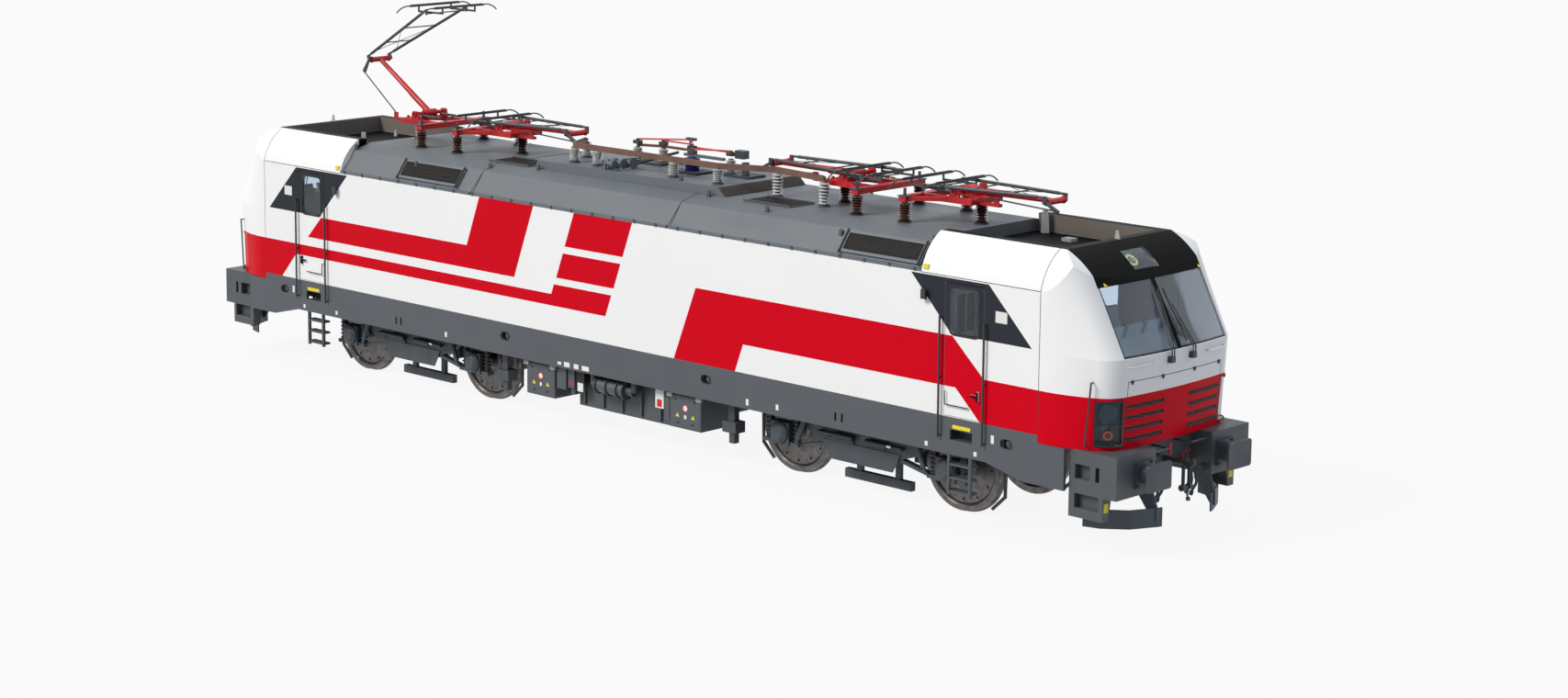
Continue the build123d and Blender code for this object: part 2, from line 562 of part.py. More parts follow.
def make_axle_boxes():
    """Axle boxes with their conical caps and guide arms."""
    boxes = []
    for s in (-1, 1):
        x = s * WHEELBASE / 2
        body = box(x - 170, x + 170, -BOX_Y - 170, -BOX_Y, WHEEL_Z - 170, WHEEL_Z + 150)
        seat = box(x - 330, x + 330, -BOX_Y - 150, -BOX_Y - 20, WHEEL_Z - 170, WHEEL_Z - 120)
        cap = lathe((x, -BOX_Y - 169, WHEEL_Z), (0, -1, 0), [(0, 0), (0, 155), (25, 155), (75, 90), (75, 0)])
        arm = side_prism([(x - s * 300, WHEEL_Z - 120), (x - s * 800, TRANSOM_Z0), (x - s * 900, TRANSOM_Z0), (x - s * 900, TRANSOM_Z0 - 45),
                          (x - s * 800, TRANSOM_Z0 - 50), (x - s * 300, WHEEL_Z - 170)], -BOX_Y - 120, -BOX_Y - 20)
        piece = fused(body, seat, cap, arm)
        piece = piece - rod((x, -JOURNAL_END - 6, WHEEL_Z), (x, -BOX_Y + 10, WHEEL_Z), JOURNAL_R + JOIN)
        boxes.append(piece)
    return both_sides(boxes)


def make_primary_springs():
    """Coil springs between the axle boxes and the side beams."""
    return both_sides([spring(s * WHEELBASE / 2 + d, -FRAME_Y - 15, WHEEL_Z - 120, 900, 62, 22) for s in (-1, 1) for d in (-250, 250)])


def make_secondary_springs():
    """Tall coil springs that carry the body."""
    return both_sides([spring(x, -FRAME_Y, 900, SILL_Z - FLOOR_T - 6, 120, 38) for x in (-190, 190)])


def make_dampers():
    """Level and leaning dampers on the outside of the side beams."""
    pieces = []
    for s in (-1, 1):
        y = -FRAME_Y - FRAME_T / 2 - 50
        pieces.append(fused(rod((s * 120, y, 800), (s * 480, y, 800), 42), rod((s * 480, y, 800), (s * 760, y, 800), 25),
                            rod((s * 140, y, 800), (s * 140, y + 50, 800), 22), rod((s * 740, y, 800), (s * 740, y + 50, 800), 22)))
    return both_sides(pieces)


def make_motors():
    """Drive motors and gear cases, as plain blocks beside the axles."""
    blocks = []
    for s in (-1, 1):
        motor = Pos(s * MOTOR_U, 0, WHEEL_Z + 30) * Rot(90, 0, 0) * Cylinder(MOTOR_R, 1000)
        blocks.append(motor + box(s * TRANSOM_HALF, s * (MOTOR_U - 240), -250, 250, TRANSOM_Z0 + 20, TRANSOM_Z1 - 20))
    return blocks


def make_brakes():
    """Brake units that hang by the wheels."""
    inner = FRAME_Y - FRAME_T / 2
    return both_sides([box(s * BRAKE_U1, s * BRAKE_U0, -860, -700, 560, 860)
                       + box(s * (BRAKE_U1 - 30), s * BRAKE_U0, -inner, -850, 720, 800) for s in (-1, 1)])


def make_wheelset():
    """Axle with two wheels, drawn about its own middle."""
    back = WHEEL_GAP / 2
    profile = [(0, 60), (0, 150), (30, 190), (38, 520), (10, 540), (0, 560), (0, WHEEL_R + FLANGE_H - 6), (8, WHEEL_R + FLANGE_H),
               (18, WHEEL_R + FLANGE_H), (30, WHEEL_R + 4), (TYRE_W, WHEEL_R - 3), (TYRE_W, 560), (118, 540), (92, 520), (84, 200),
               (120, 170), (120, 60)]
    length = 2 * JOURNAL_END
    axle = lathe((0, -JOURNAL_END, 0), (0, 1, 0), [(0, 0), (0, JOURNAL_R), (270, JOURNAL_R), (290, AXLE_R), (length - 290, AXLE_R),
                                                   (length - 270, JOURNAL_R), (length, JOURNAL_R), (length, 0)])
    wheels = [lathe((0, -back, 0), (0, -1, 0), profile), lathe((0, back, 0), (0, 1, 0), profile)]
    solid = fused(axle, *wheels)
    for i in range(12):
        a = math.radians(30 * i)
        x, z = 470 * math.cos(a), 470 * math.sin(a)
        for s in (-1, 1):
            solid = solid - rod((x, s * (back + 74), z), (x, s * (back + 130), z), 22)
    return solid.solids()


# Underfloor

def make_transformer():
    """Transformer tank, a plain closed block with stiffening ribs."""
    tank = box(-820, 1180, -1180, 1180, 380, SILL_Z - FLOOR_T)
    ribs = [box(x, x + 30, -1215, 1215, 420, 940) for x in (-700, -300, 100, 500, 900)]
    return fused(tank, *ribs).solids()


def make_equipment():
    """Equipment boxes along the sides."""
    boxes = [box(-1750, -1130, -1400, -830, 450, SILL_Z - FLOOR_T), box(1300, 1930, -1400, -830, 450, SILL_Z - FLOOR_T), box(-1100, -900, -1390, -1000, 620, SILL_Z - FLOOR_T)]
    return both_sides(boxes)


def make_pumps():
    """Oil pump between the equipment boxes."""
    return both_sides([fused(rod((-250, -1330, 800), (350, -1330, 800), 110), box(-120, 180, -1340, -1215, 690, 910))])


# Roof gear

def insulator(x, y, z0, z1, r):
    """Ribbed insulator."""
    sheds = 6
    pitch = (z1 - z0 - 40) / sheds
    core = Pos(x, y, (z0 + z1) / 2) * Cylinder(r * 0.55, z1 - z0)
    plates = [Pos(x, y, z0 + 20 + pitch * (i + 0.5)) * Cone(r, r * 0.6, pitch * 0.55) for i in range(sheds)]
    foot = Pos(x, y, z0 + 12) * Cylinder(r * 1.25, 24)
    return fused(core, foot, *plates)


def pan_x(inner, u):
    """Place along the loco of a point of the pantograph at +X."""
    x = PAN_HINGE_X + u
    return 2 * PAN_MIRROR_X - x if inner else x


def make_pan_insulators():
    """Three insulators under each pantograph."""
    feet = []
    for inner in (False, True):
        for u, y in ((PAN_PAIR_U, -PAN_PAIR_Y), (PAN_PAIR_U, PAN_PAIR_Y), (PAN_SINGLE_U, 0)):
            feet.append(insulator(pan_x(inner, u), y, ROOF_TOP_Z, PAN_BASE_Z - PAN_BEAM_H, 75))
    return feet + [mirror(f, Plane.YZ) for f in feet]


def make_pan_bases():
    """Base frames of the four pantographs."""
    frames = []
    for inner in (False, True):
        z0, z1 = PAN_BASE_Z - PAN_BEAM_H, PAN_BASE_Z
        cross = box(pan_x(inner, PAN_PAIR_U - 60), pan_x(inner, PAN_PAIR_U + 60), -PAN_PAIR_Y - 60, PAN_PAIR_Y + 60, z0, z1)
        rails = [box(pan_x(inner, PAN_PAIR_U), pan_x(inner, PAN_SINGLE_U + 90), y - 35, y + 35, z0, z1) for y in (-300, 300)]
        end = box(pan_x(inner, PAN_SINGLE_U - 60), pan_x(inner, PAN_SINGLE_U + 90), -300, 300, z0, z1)
        ears = [side_prism([(pan_x(inner, -90), z1 - 5), (pan_x(inner, -50), PAN_HINGE_Z + 45), (pan_x(inner, 50), PAN_HINGE_Z + 45),
                            (pan_x(inner, 90), z1 - 5)], y - 20, y + 20) for y in (-300, 300)]
        slants = [slant(pan_x(inner, PAN_PAIR_U), s * PAN_PAIR_Y, pan_x(inner, PAN_SINGLE_U), s * 60, 50, z0 + 10, z1 - 10) for s in (-1, 1)]
        posts = [rod((pan_x(inner, PAN_SINGLE_U + 20), y, z1 - 5), (pan_x(inner, PAN_SINGLE_U + 20), y, z1 + 35), 22) for y in (-240, 240)]
        frame = fused(cross, rails[0], rails[1], end, *ears, *slants, *posts)
        frame = frame - rod((pan_x(inner, 0), -400, PAN_HINGE_Z), (pan_x(inner, 0), 400, PAN_HINGE_Z), 30.4)
        rod_ear = box(pan_x(inner, ROD_FOOT_U - 60), pan_x(inner, ROD_FOOT_U + 30), -190, -170, z0, PAN_HINGE_Z + ROD_FOOT_W + 30)
        bridge = box(pan_x(inner, PAN_SINGLE_U + 80), pan_x(inner, ROD_FOOT_U + 30), -190, -110, z0, z0 + 40)
        frame = fused(frame, bridge, rod_ear)
        frame = frame - rod((pan_x(inner, ROD_FOOT_U), -220, PAN_HINGE_Z + ROD_FOOT_W), (pan_x(inner, ROD_FOOT_U), -140, PAN_HINGE_Z + ROD_FOOT_W), 10.4)
        frames.append(frame)
    return frames + [mirror(f, Plane.YZ) for f in frames]


def lower_arm():
    """Lower arm in its own plane, hinge at the origin, lying outwards."""
    shaft = rod((0, -340, 0), (0, 340, 0), 30)
    hub = rod((0, -120, 0), (0, 120, 0), 60)
    tube = Plane(origin=(0, 0, 0), x_dir=(0, 1, 0), z_dir=(1, 0, 0)) * Cone(50, 36, ARM_LOW, align=(Align.CENTER, Align.CENTER, Align.MIN))
    knee = rod((ARM_LOW, -190, 0), (ARM_LOW, 190, 0), 42)
    arm = fused(shaft, hub, tube, knee)
    return arm - rod((ARM_LOW, -260, 0), (ARM_LOW, 260, 0), 18.4)


def upper_arm():
    """Upper arm in its own plane, knee at the origin, lying inwards, with its crank outwards."""
    pin = rod((0, -250, 0), (0, 250, 0), 18)
    z = 70
    pieces = [pin]
    for s in (-1, 1):
        pieces.append(box(-30, 30, s * 205, s * 235, -25, z + 15))
        pieces.append(rod((0, s * 220, z), (-ARM_UP, s * 420, 55), 17))
        pieces.append(box(-ARM_UP - 25, -ARM_UP + 25, s * 405, s * 435, -15, 70))
    for share in (0.3, 0.62):
        y = 220 + 200 * share
        pieces.append(rod((-ARM_UP * share, -y, z - 15 * share), (-ARM_UP * share, y, z - 15 * share), 10))
    crank = side_prism([(-20, 15), (20, 25), (CRANK_U + 25, CRANK_W + 25), (CRANK_U + 10, CRANK_W - 25), (CRANK_U - 25, CRANK_W - 20)], -235, -205)
    arm = fused(*pieces, crank)
    arm = arm - rod((-ARM_UP, -460, 0), (-ARM_UP, 460, 0), 10.4)
    return arm - rod((CRANK_U, -250, CRANK_W), (CRANK_U, -190, CRANK_W), 10.4)


def pan_head():
    """Collector head about its own pivot: two strips with curved horns on a light frame."""
    shaft = rod((0, -445, 0), (0, 445, 0), 10)
    pieces = [shaft]
    for s in (-1, 1):
        pieces.append(box(-STRIP_GAP / 2, STRIP_GAP / 2, s * 330, s * 350, 0, 30))
        pieces.append(box(-15, 15, s * 330, s * 350, -12, 20))
        for e in (-1, 1):
            x = e * STRIP_GAP / 2
            pieces.append(box(x - 12, x + 12, s * 330, s * 350, 0, 95))
    for e in (-1, 1):
        x = e * STRIP_GAP / 2
        pieces.append(box(x - 22, x + 22, -520, 520, 90, 118))
        for s in (-1, 1):
            path = ThreePointArc((x, s * 510, 105), (x, s * 690, 85), (x, s * HEAD_HALF_L, 15))
            pieces.append(sweep(Plane(origin=path @ 0, z_dir=path % 0) * Circle(11), path))
    return fused(*pieces)


def coupling_rod():
    """Rod from the base frame to the upper arm's crank, lying outwards from its foot."""
    du = ARM_LOW + CRANK_U - ROD_FOOT_U
    dw = CRANK_W - ROD_FOOT_W
    length = math.hypot(du, dw)
    bar = rod((0, -155, 0), (du * (length - 30) / length, -155, dw * (length - 30) / length), 11)
    pin = rod((0, -195, 0), (0, -143, 0), 10)
    return bar + pin


def place_arm(piece, inner, back, pivot, angle):
    """Turn a pantograph piece about its pivot (u, w) and put it on the roof."""
    piece = Pos(pivot[0], 0, pivot[1]) * Rot(0, -angle, 0) * piece
    piece = Pos(PAN_HINGE_X, 0, PAN_HINGE_Z) * piece
    if inner:
        piece = Pos(2 * PAN_MIRROR_X, 0, 0) * mirror(piece, Plane.YZ)
    return mirror(piece, Plane.YZ) if back else piece


def make_pantograph(inner, back, raised):
    """Lower arm, upper arm, head and coupling rod at the given angle of the lower arm."""
    a = math.radians(raised)
    knee = (ARM_LOW * math.cos(a), ARM_LOW * math.sin(a))
    b = UP_RATIO * raised
    head = (knee[0] - ARM_UP * math.cos(math.radians(b)), knee[1] + ARM_UP * math.sin(math.radians(b)))
    return {
        "lower_arm": place_arm(lower_arm(), inner, back, (0, 0), raised),
        "upper_arm": place_arm(upper_arm(), inner, back, knee, -b),
        "head": place_arm(pan_head(), inner, back, head, 0),
        "rod": place_arm(coupling_rod(), inner, back, (ROD_FOOT_U, ROD_FOOT_W), ROD_RATIO * raised),
    }


# Busbar insulators: place along and across, on the platform or the roof
BUS_LINE = [(-1750, -150), (-1500, -640), (1500, -640), (2350, -300), (3380, -450)]
BUS_FEET = [(-1750, -150), (-1500, -640), (-1000, -640), (600, -640), (1500, -640), (2350, -300), (3380, -450),
            (-900, 100), (-500, 250), (1000, 150)]
LINK_LINE = [(-900, 100), (-500, 250), (100, 250)]
BUS_Z = 4180


def bus_foot_z(x):
    """Height of the roof or platform at x."""
    return PLAT_TOP_Z if PLAT_X0 + 60 < x < PLAT_X1 - 150 else ROOF_TOP_Z


def make_bus_insulators():
    """White insulators under the busbar and the roof switches."""
    return [insulator(x, y, bus_foot_z(x), BUS_Z - 20, 68) for x, y in BUS_FEET]


def make_busbar():
    """Flat bar that links the pantographs along the roof."""
    bars = []
    for line, width in ((BUS_LINE, 30), (LINK_LINE, 22)):
        half = width / 2 + 5
        pieces = [slant(xa, ya, xb, yb, width, BUS_Z - 20, BUS_Z + 20) for (xa, ya), (xb, yb) in zip(line, line[1:])]
        knees = [Pos(x, y, BUS_Z) * Cylinder(half, 40) for x, y in line]
        bars += fused(*pieces, *knees).solids()
    return bars


def make_breaker():
    """Main switch: a blue insulator column with its arm."""
    column = insulator(450, -100, PLAT_TOP_Z, BUS_Z - 20, 110)
    arm = box(300, 1100, -130, -70, BUS_Z - 20, BUS_Z + 20)
    return fused(column, arm).solids()


def make_horns():
    """Warning horns on the roof."""
    pieces = []
    for y, reach, mouth in ((-830, 300, 62), (-700, 360, 75), (-560, 430, 90)):
        foot = box(-700, -620, y - 20, y + 20, PLAT_TOP_Z, PLAT_TOP_Z + 92)
        bell = lathe((-740, y, PLAT_TOP_Z + 100), (1, 0, 0), [(0, 0), (0, 45), (60, 45), (80, 20), (reach - 60, 40), (reach, mouth), (reach, 0)])
        pieces.append(foot + bell)
    return pieces


def make_antennas():
    """Fin aerials on the cab roofs, at the end at +X."""
    return [side_prism([(x - 40, z), (x - 20, z + 110), (x + 10, z + 110), (x + 40, z)], y - 8, y + 8)
            for x, y, z in ((7300, -700, RECESS_Z), (SEAM_X + 55, 0, CAB_TOP_Z))]


def make_wipers():
    """Two double-arm wipers, parked near the mullion, at the end at +X."""
    pieces = []
    for s in (-1, 1):
        z0, knee_z, z1 = SCREEN_Z0 - 110, SCREEN_Z0 + 20, SCREEN_Z1 - 330
        knee_x = nose_front_x(knee_z) + 60
        base = box(NOSE_X_SILL - 30, NOSE_X_SILL + 60, s * 190, s * 270, z0 - 30, z0 + 50) - nose_solid(0, NOSE_BOTTOM_Z)
        arms = []
        for y in (205, 255):
            arms.append(rod((knee_x, s * y, z0 + 10), (knee_x, s * y, knee_z), 9))
            arms.append(rod((knee_x, s * y, knee_z - 5), (nose_front_x(z1) + 45, s * (y - 130), z1), 9))
        blade = rod((nose_front_x(z1 - 450) + 45, s * 130, z1 - 450), (nose_front_x(z1 + 200) + 45, s * 60, z1 + 200), 12)
        pieces.append(fused(base, *arms, blade))
    return pieces


# Cab inside

def make_cab_inside():
    """Rear wall, desk and driver's seat of the cab at +X."""
    wall = box(6120, 6160, -HALF_W + WALL, HALF_W - WALL, SILL_Z, 3340)
    desk = side_prism([(8400, SILL_Z), (8400, 2150), (8250, 2300), (8450, 2380), (8820, 2420), (8820, SILL_Z)], -1150, 1150)
    seat = fused(box(7650, 8050, 100, 600, 1950, 2050), box(7650, 7730, 100, 600, 2050, 2650), box(7800, 7900, 300, 400, SILL_Z, 1950))
    return [wall, desk, seat]


def build():
    """Every node of the loco, by name."""
    bogie = {
        "frame": make_bogie_frame() + make_brakes(),
        "axle_boxes": make_axle_boxes(),
        "suspension": make_primary_springs() + make_secondary_springs() + make_dampers(),
        "motors": make_motors(),
    }
    nodes = {
        "underframe": make_underframe(),
        "skirts": make_skirts(),
        "side_walls": make_side_walls(),
        "middle_roof": make_middle_roof(),
        "roof_grilles": make_roof_grilles(),
        "nose": both_ends(make_nose()),
        "cab_roofs": both_ends(make_cab_roof()),
        "windscreens": both_ends(make_windscreen()),
        "headlamps": both_ends(lamp_piece(-1) + lamp_piece(1) + top_lamp_piece()),
        "cab_inside": both_ends(make_cab_inside()),
        "wipers": both_ends(make_wipers()),
        "roof_fins": both_ends(make_antennas()),
        "ladders": make_steps(),
        "rail_guards": make_rail_guards(),
        "buffers": make_buffers(),
        "draw_gear": make_draw_gear(),
        "handrails": make_handrails() + make_mirrors(),
        "transformer": make_transformer(),
        "equipment_boxes": make_equipment() + make_pumps(),
        "pan_insulators": make_pan_insulators(),
        "pan_bases": make_pan_bases(),
        "bus_insulators": make_bus_insulators(),
        "busbar": make_busbar(),
        "breaker": make_breaker() + make_horns(),
    }
    for i, (sx, sy) in enumerate(((1, -1), (1, 1), (-1, -1), (-1, 1)), 1):
        leaf, glass = make_door(sx, sy)
        nodes[f"door_{i}"] = [leaf]
        nodes[f"door_glass_{i}"] = [glass]
    wheelset = make_wheelset()
    for i, x in ((1, -BOGIE_X), (2, BOGIE_X)):
        for part, solids in bogie.items():
            nodes[f"bogie_{part}_{i}"] = [Pos(x, 0, 0) * s for s in solids]
        for j, s in ((1, -1), (2, 1)):
            nodes[f"wheelset_{2 * i - 2 + j}"] = [Pos(x + s * WHEELBASE / 2, 0, WHEEL_Z) * w for w in wheelset]
    pans = ((1, False, True, PAN_RAISE), (2, True, True, 0), (3, True, False, 0), (4, False, False, 0))
    for number, inner, back, raised in pans:
        for part, solid in make_pantograph(inner, back, raised).items():
            nodes[f"pan_{part}_{number}"] = [solid]
    return nodes


os.makedirs("parts", exist_ok=True)
for node, solids in build().items():
    save(node, solids)
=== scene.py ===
# %% [markdown]
# An electric locomotive for main lines, with a cab at each end and four pantographs on its roof.
# The engineering solids come in first as a fixed frame. This lesson gives them their paint, glass
# and metal, and adds the small things that a workshop would fit last.

import math

import bmesh
import bpy
from mathutils import Matrix, Vector


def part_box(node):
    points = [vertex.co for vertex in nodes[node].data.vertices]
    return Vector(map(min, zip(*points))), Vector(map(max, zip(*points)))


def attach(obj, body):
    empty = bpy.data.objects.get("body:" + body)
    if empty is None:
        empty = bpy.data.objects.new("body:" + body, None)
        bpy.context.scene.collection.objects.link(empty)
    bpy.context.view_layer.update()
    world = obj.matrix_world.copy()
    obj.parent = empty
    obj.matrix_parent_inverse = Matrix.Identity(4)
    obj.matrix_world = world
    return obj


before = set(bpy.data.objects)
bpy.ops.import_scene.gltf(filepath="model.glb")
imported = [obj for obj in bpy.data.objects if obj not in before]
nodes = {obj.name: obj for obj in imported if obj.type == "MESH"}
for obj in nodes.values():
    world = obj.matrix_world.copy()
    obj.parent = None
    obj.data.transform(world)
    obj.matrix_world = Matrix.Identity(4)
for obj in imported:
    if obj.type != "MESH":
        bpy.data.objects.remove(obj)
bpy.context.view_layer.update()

# %% [markdown]
# The picture was taken from the right of the front end, a little above the eaves, with a long lens.
# Place, angles and lens were worked out once from the rail gauge and the body's straight edges.

# %% Camera
PHOTO_WIDTH, PHOTO_HEIGHT = 1707, 760   # pixels
FOCAL_PIXELS = 3316.4
CENTRE_U, CENTRE_V = 643.57, 226.07     # where the lens's axis meets the picture, in pixels
EYE = (31.586, -31.848, 10.531)         # metres
YAW, PITCH = 0.8092, -0.1592            # radians

lens = bpy.data.cameras.new("lens")
lens.sensor_width = 36.0
lens.lens = FOCAL_PIXELS / PHOTO_WIDTH * lens.sensor_width
lens.shift_x = (PHOTO_WIDTH / 2 - CENTRE_U) / PHOTO_WIDTH
lens.shift_y = (CENTRE_V - PHOTO_HEIGHT / 2) / PHOTO_WIDTH
lens.clip_end = 500.0
camera = bpy.data.objects.new("camera", lens)
camera.location = EYE
camera.rotation_euler = (math.pi / 2 + PITCH, 0.0, YAW)
bpy.context.scene.collection.objects.link(camera)
bpy.context.scene.camera = camera
bpy.context.scene.view_settings.view_transform = "Standard"
print("the lens has", round(lens.lens, 1), "mm")


# %% [markdown]
# Every shader below is a handful of nodes. One function adds a node, sets its properties and fills
# its sockets. A mask is 0 or 1, and a chain of nodes joins several of them.

# %% Node helper
def linear(hex_colour):
    """sRGB hex to the linear colour that a shader works in."""
    channels = [int(hex_colour[i:i + 2], 16) / 255 for i in (1, 3, 5)]
    return tuple(c / 12.92 if c <= 0.04045 else ((c + 0.055) / 1.055) ** 2.4 for c in channels) + (1.0,)


def add(tree, kind, sockets=None, **settings):
    """Add a node; a socket takes a value, another node's socket, or a node for its first output."""
    node = tree.nodes.new(f"ShaderNode{kind}")
    for name, value in settings.items():
        setattr(node, name, value)
    for name, value in (sockets or {}).items():
        value = value.outputs[0] if isinstance(value, bpy.types.Node) else value
        if isinstance(value, bpy.types.NodeSocket):
            tree.links.new(value, node.inputs[name])
        else:
            node.inputs[name].default_value = value
    return node


def chain(tree, operation, values):
    """Join masks: MAXIMUM gives 1 where any of them is, and MULTIPLY where all are."""
    result = values[0]
    for value in values[1:]:
        result = add(tree, "Math", {0: result, 1: value}, operation=operation)
    return result


def empty_material(name):
    """Material with nothing in it, and its node tree."""
    material = bpy.data.materials.new(name)
    material.use_nodes = True
    material.node_tree.nodes.clear()
    return material, material.node_tree


def close_material(tree, sockets):
    """Give the tree its Principled shader and its output."""
    add(tree, "OutputMaterial", {"Surface": add(tree, "BsdfPrincipled", sockets)})


# %% [markdown]
# The loco stands on a plain pale floor, in soft light from large lamps. The white behind it is seen
# by the camera, by glass and by gloss only, so it adds no light to the object.

# %% Floor and background
FLOOR_SIZE = 600.0      # metres
FLOOR_GREY = "#BABABA"
WHITE_SHARE = 0.91      # this much of the floor is plain white to the camera, and the rest takes shadow
SKY_COLOUR, SKY_STRENGTH = "#E3E8EF", 0.44
PLAIN_WHITE = {"Color": linear("#FFFFFF"), "Strength": 1.0}


def seen_directly(tree):
    """1 where the camera, a reflection or glass looks, and 0 for scattered light."""
    rays = add(tree, "LightPath").outputs
    return chain(tree, "MAXIMUM", [rays[f"Is {kind} Ray"] for kind in ("Camera", "Glossy", "Transmission")])


bm = bmesh.new()
bmesh.ops.create_grid(bm, x_segments=1, y_segments=1, size=FLOOR_SIZE / 2)
floor_mesh = bpy.data.meshes.new("floor")
bm.to_mesh(floor_mesh)
bm.free()
floor = bpy.data.objects.new("floor", floor_mesh)
bpy.context.scene.collection.objects.link(floor)
floor_paint, tree = empty_material("pale_floor")
matt = add(tree, "BsdfDiffuse", {"Color": linear(FLOOR_GREY)})
glow = add(tree, "Emission", PLAIN_WHITE)
share = add(tree, "Math", {0: seen_directly(tree), 1: WHITE_SHARE}, operation="MULTIPLY")
add(tree, "OutputMaterial", {"Surface": add(tree, "MixShader", {0: share, 1: matt, 2: glow})})
floor.data.materials.append(floor_paint)

world = bpy.data.worlds.new("studio")
world.use_nodes = True
world.node_tree.nodes.clear()
tree = world.node_tree
dim = add(tree, "Background", {"Color": linear(SKY_COLOUR), "Strength": SKY_STRENGTH})
white = add(tree, "Background", PLAIN_WHITE)
add(tree, "OutputWorld", {"Surface": add(tree, "MixShader", {0: seen_directly(tree), 1: dim, 2: white})})
bpy.context.scene.world = world
print("floor and studio are in place")

# %% [markdown]
# Three wide suns do the work of a studio's large soft boxes, and light the whole length evenly. The
# key comes from high on the camera's left, onto the long side. The front, which the picture shows
# darker and bluer, gets the weakest one, and the side behind has one of its own.

# %% Lamps
LAMPS = (
    # name, direction from the loco to the lamp, strength, width in degrees, colour
    ("key", (-0.35, -0.80, 0.75), 2.95, 24.0, "#FFFAF2"),
    ("front_fill", (0.85, -0.10, 0.45), 0.2, 40.0, "#DCE8FF"),
    ("far_fill", (0.10, 0.90, 0.50), 1.15, 40.0, "#F4F7FF"),
)
for name, direction, strength, width, colour in LAMPS:
    lamp = bpy.data.lights.new(name, "SUN")
    lamp.energy = strength
    lamp.angle = math.radians(width)
    lamp.color = linear(colour)[:3]
    holder = bpy.data.objects.new(name, lamp)
    holder.rotation_euler = Vector(direction).to_track_quat("Z", "Y").to_euler()
    holder.visible_glossy = name == "key"       # the fills light paint, but don't show in the glass
    bpy.context.scene.collection.objects.link(holder)
print(len(LAMPS), "lamps")


# %% [markdown]
# Railway paint is a two-part enamel, sprayed over filler. It is smooth and glossy on the body and
# satin on the frames. Road dust lies on it in patches from a hand to an arm wide, so a soft noise of
# that size in millimetres moves the colour and the roughness by a few parts in a hundred. Bare metal
# takes the same patches.

# %% Paint, glaze and metal
PATCH_LOW, PATCH_HIGH = 0.3, 0.7        # nearly all of the noise lies between these
ENAMEL_IOR = 1.5


def dusty(tree, place, colour, tone, patch_mm, low=0.0, high=1.0):
    """The colour, darkened by up to the share tone in patches of that size, and the patches."""
    noise = add(tree, "TexNoise", {"Vector": place, "Scale": 1000.0 / patch_mm, "Detail": 2.0,
                                   "Roughness": 0.5})
    factor = add(tree, "MapRange", {"Value": noise.outputs["Fac"], "From Min": low, "From Max": high})
    darker = tuple(c * (1 - tone) for c in linear(colour)[:3]) + (1.0,)
    mix = add(tree, "Mix", {"Factor": factor, "A": linear(colour), "B": darker}, data_type="RGBA")
    return mix.outputs["Result"], noise.outputs["Fac"]


def patchy(name, colour, rough_low, rough_high, tone, patch_mm, sockets):
    """Material whose roughness runs between the two values."""
    material, tree = empty_material(name)
    place = add(tree, "TexCoord").outputs["Object"]
    paint, patches = dusty(tree, place, colour, tone, patch_mm, PATCH_LOW, PATCH_HIGH)
    roughness = add(tree, "MapRange", {"Value": patches, "From Min": PATCH_LOW, "From Max": PATCH_HIGH,
                                       "To Min": rough_low, "To Max": rough_high})
    close_material(tree, {"Base Color": paint, "Roughness": roughness, **sockets})
    return material


def enamel(name, colour, rough_low, rough_high, tone=0.12, patch_mm=400.0, coat=0.0,
           glow=("#000000", 0.0)):
    """Sprayed enamel, or glaze where it has a coat, or a lit diode where it glows."""
    return patchy(name, colour, rough_low, rough_high, tone, patch_mm, {
        "Coat Weight": coat, "Coat Roughness": 0.08, "IOR": ENAMEL_IOR,
        "Emission Color": linear(glow[0]), "Emission Strength": glow[1]})


def bare_metal(name, colour, rough, tone=0.1, patch_mm=60.0):
    """Metal without paint."""
    return patchy(name, colour, rough * 0.8, rough * 1.2, tone, patch_mm, {"Metallic": 1.0})


# Satin spray on welded plate, a little dusty. On the skirts' large flat sheets it is more even.
FRAME_GREY = enamel("frame_enamel", "#474D52", 0.42, 0.58)
SKIRT_GREY = enamel("skirt_enamel", "#4A5057", 0.38, 0.5, tone=0.06, patch_mm=900.0)
# Satin spray over castings and welds, with brake dust in hand-wide patches.
BOGIE_GREY = enamel("bogie_enamel", "#3E464E", 0.45, 0.62, tone=0.2, patch_mm=220.0)
# Bitumen-like paint of the underside, flat and sooty.
UNDER_BLACK = enamel("underside_enamel", "#2C3136", 0.55, 0.7, tone=0.2)
# Rolled-on grip paint of the roof, matt and nearly even.
ROOF_GREY = enamel("roof_enamel", "#5E656C", 0.5, 0.62, tone=0.07, patch_mm=700.0)
# Satin spray on forged buffers and brackets, a little bluer than the frame.
BUFFER_SLATE = enamel("buffer_enamel", "#3A444D", 0.4, 0.55)
# Spray on steel tubes: bright red ones and dark ones, with a soft highlight along each.
PANTOGRAPH_RED = enamel("pantograph_enamel", "#B80C16", 0.35, 0.5, tone=0.15, patch_mm=200.0)
ARM_STEEL = enamel("arm_enamel", "#353F45", 0.35, 0.5)
# Powder coat on steel rod, even, with a thin highlight.
RAIL_BLACK = enamel("handrail_enamel", "#24292D", 0.35, 0.45)
# Moulded and painted panels of the cab, matt and pale, and made paler still as painted light, since the glass
# lets little light into the closed cab.
CAB_GREY_WITH_PAINTED_LIGHT = enamel("cab_enamel_with_painted_light", "#A9B4BF", 0.5, 0.6)
# Rolled and turned steel, browned by brake dust, so its shine is dull and broken.
WHEEL_STEEL = bare_metal("rolled_steel", "#716E6D", 0.45, tone=0.35, patch_mm=90.0)
# Drawn copper strip that weather has browned: its skin is an oxide, and no bright metal is left.
BAR_COPPER = enamel("aged_copper", "#6F4E40", 0.42, 0.6, tone=0.35, patch_mm=160.0)
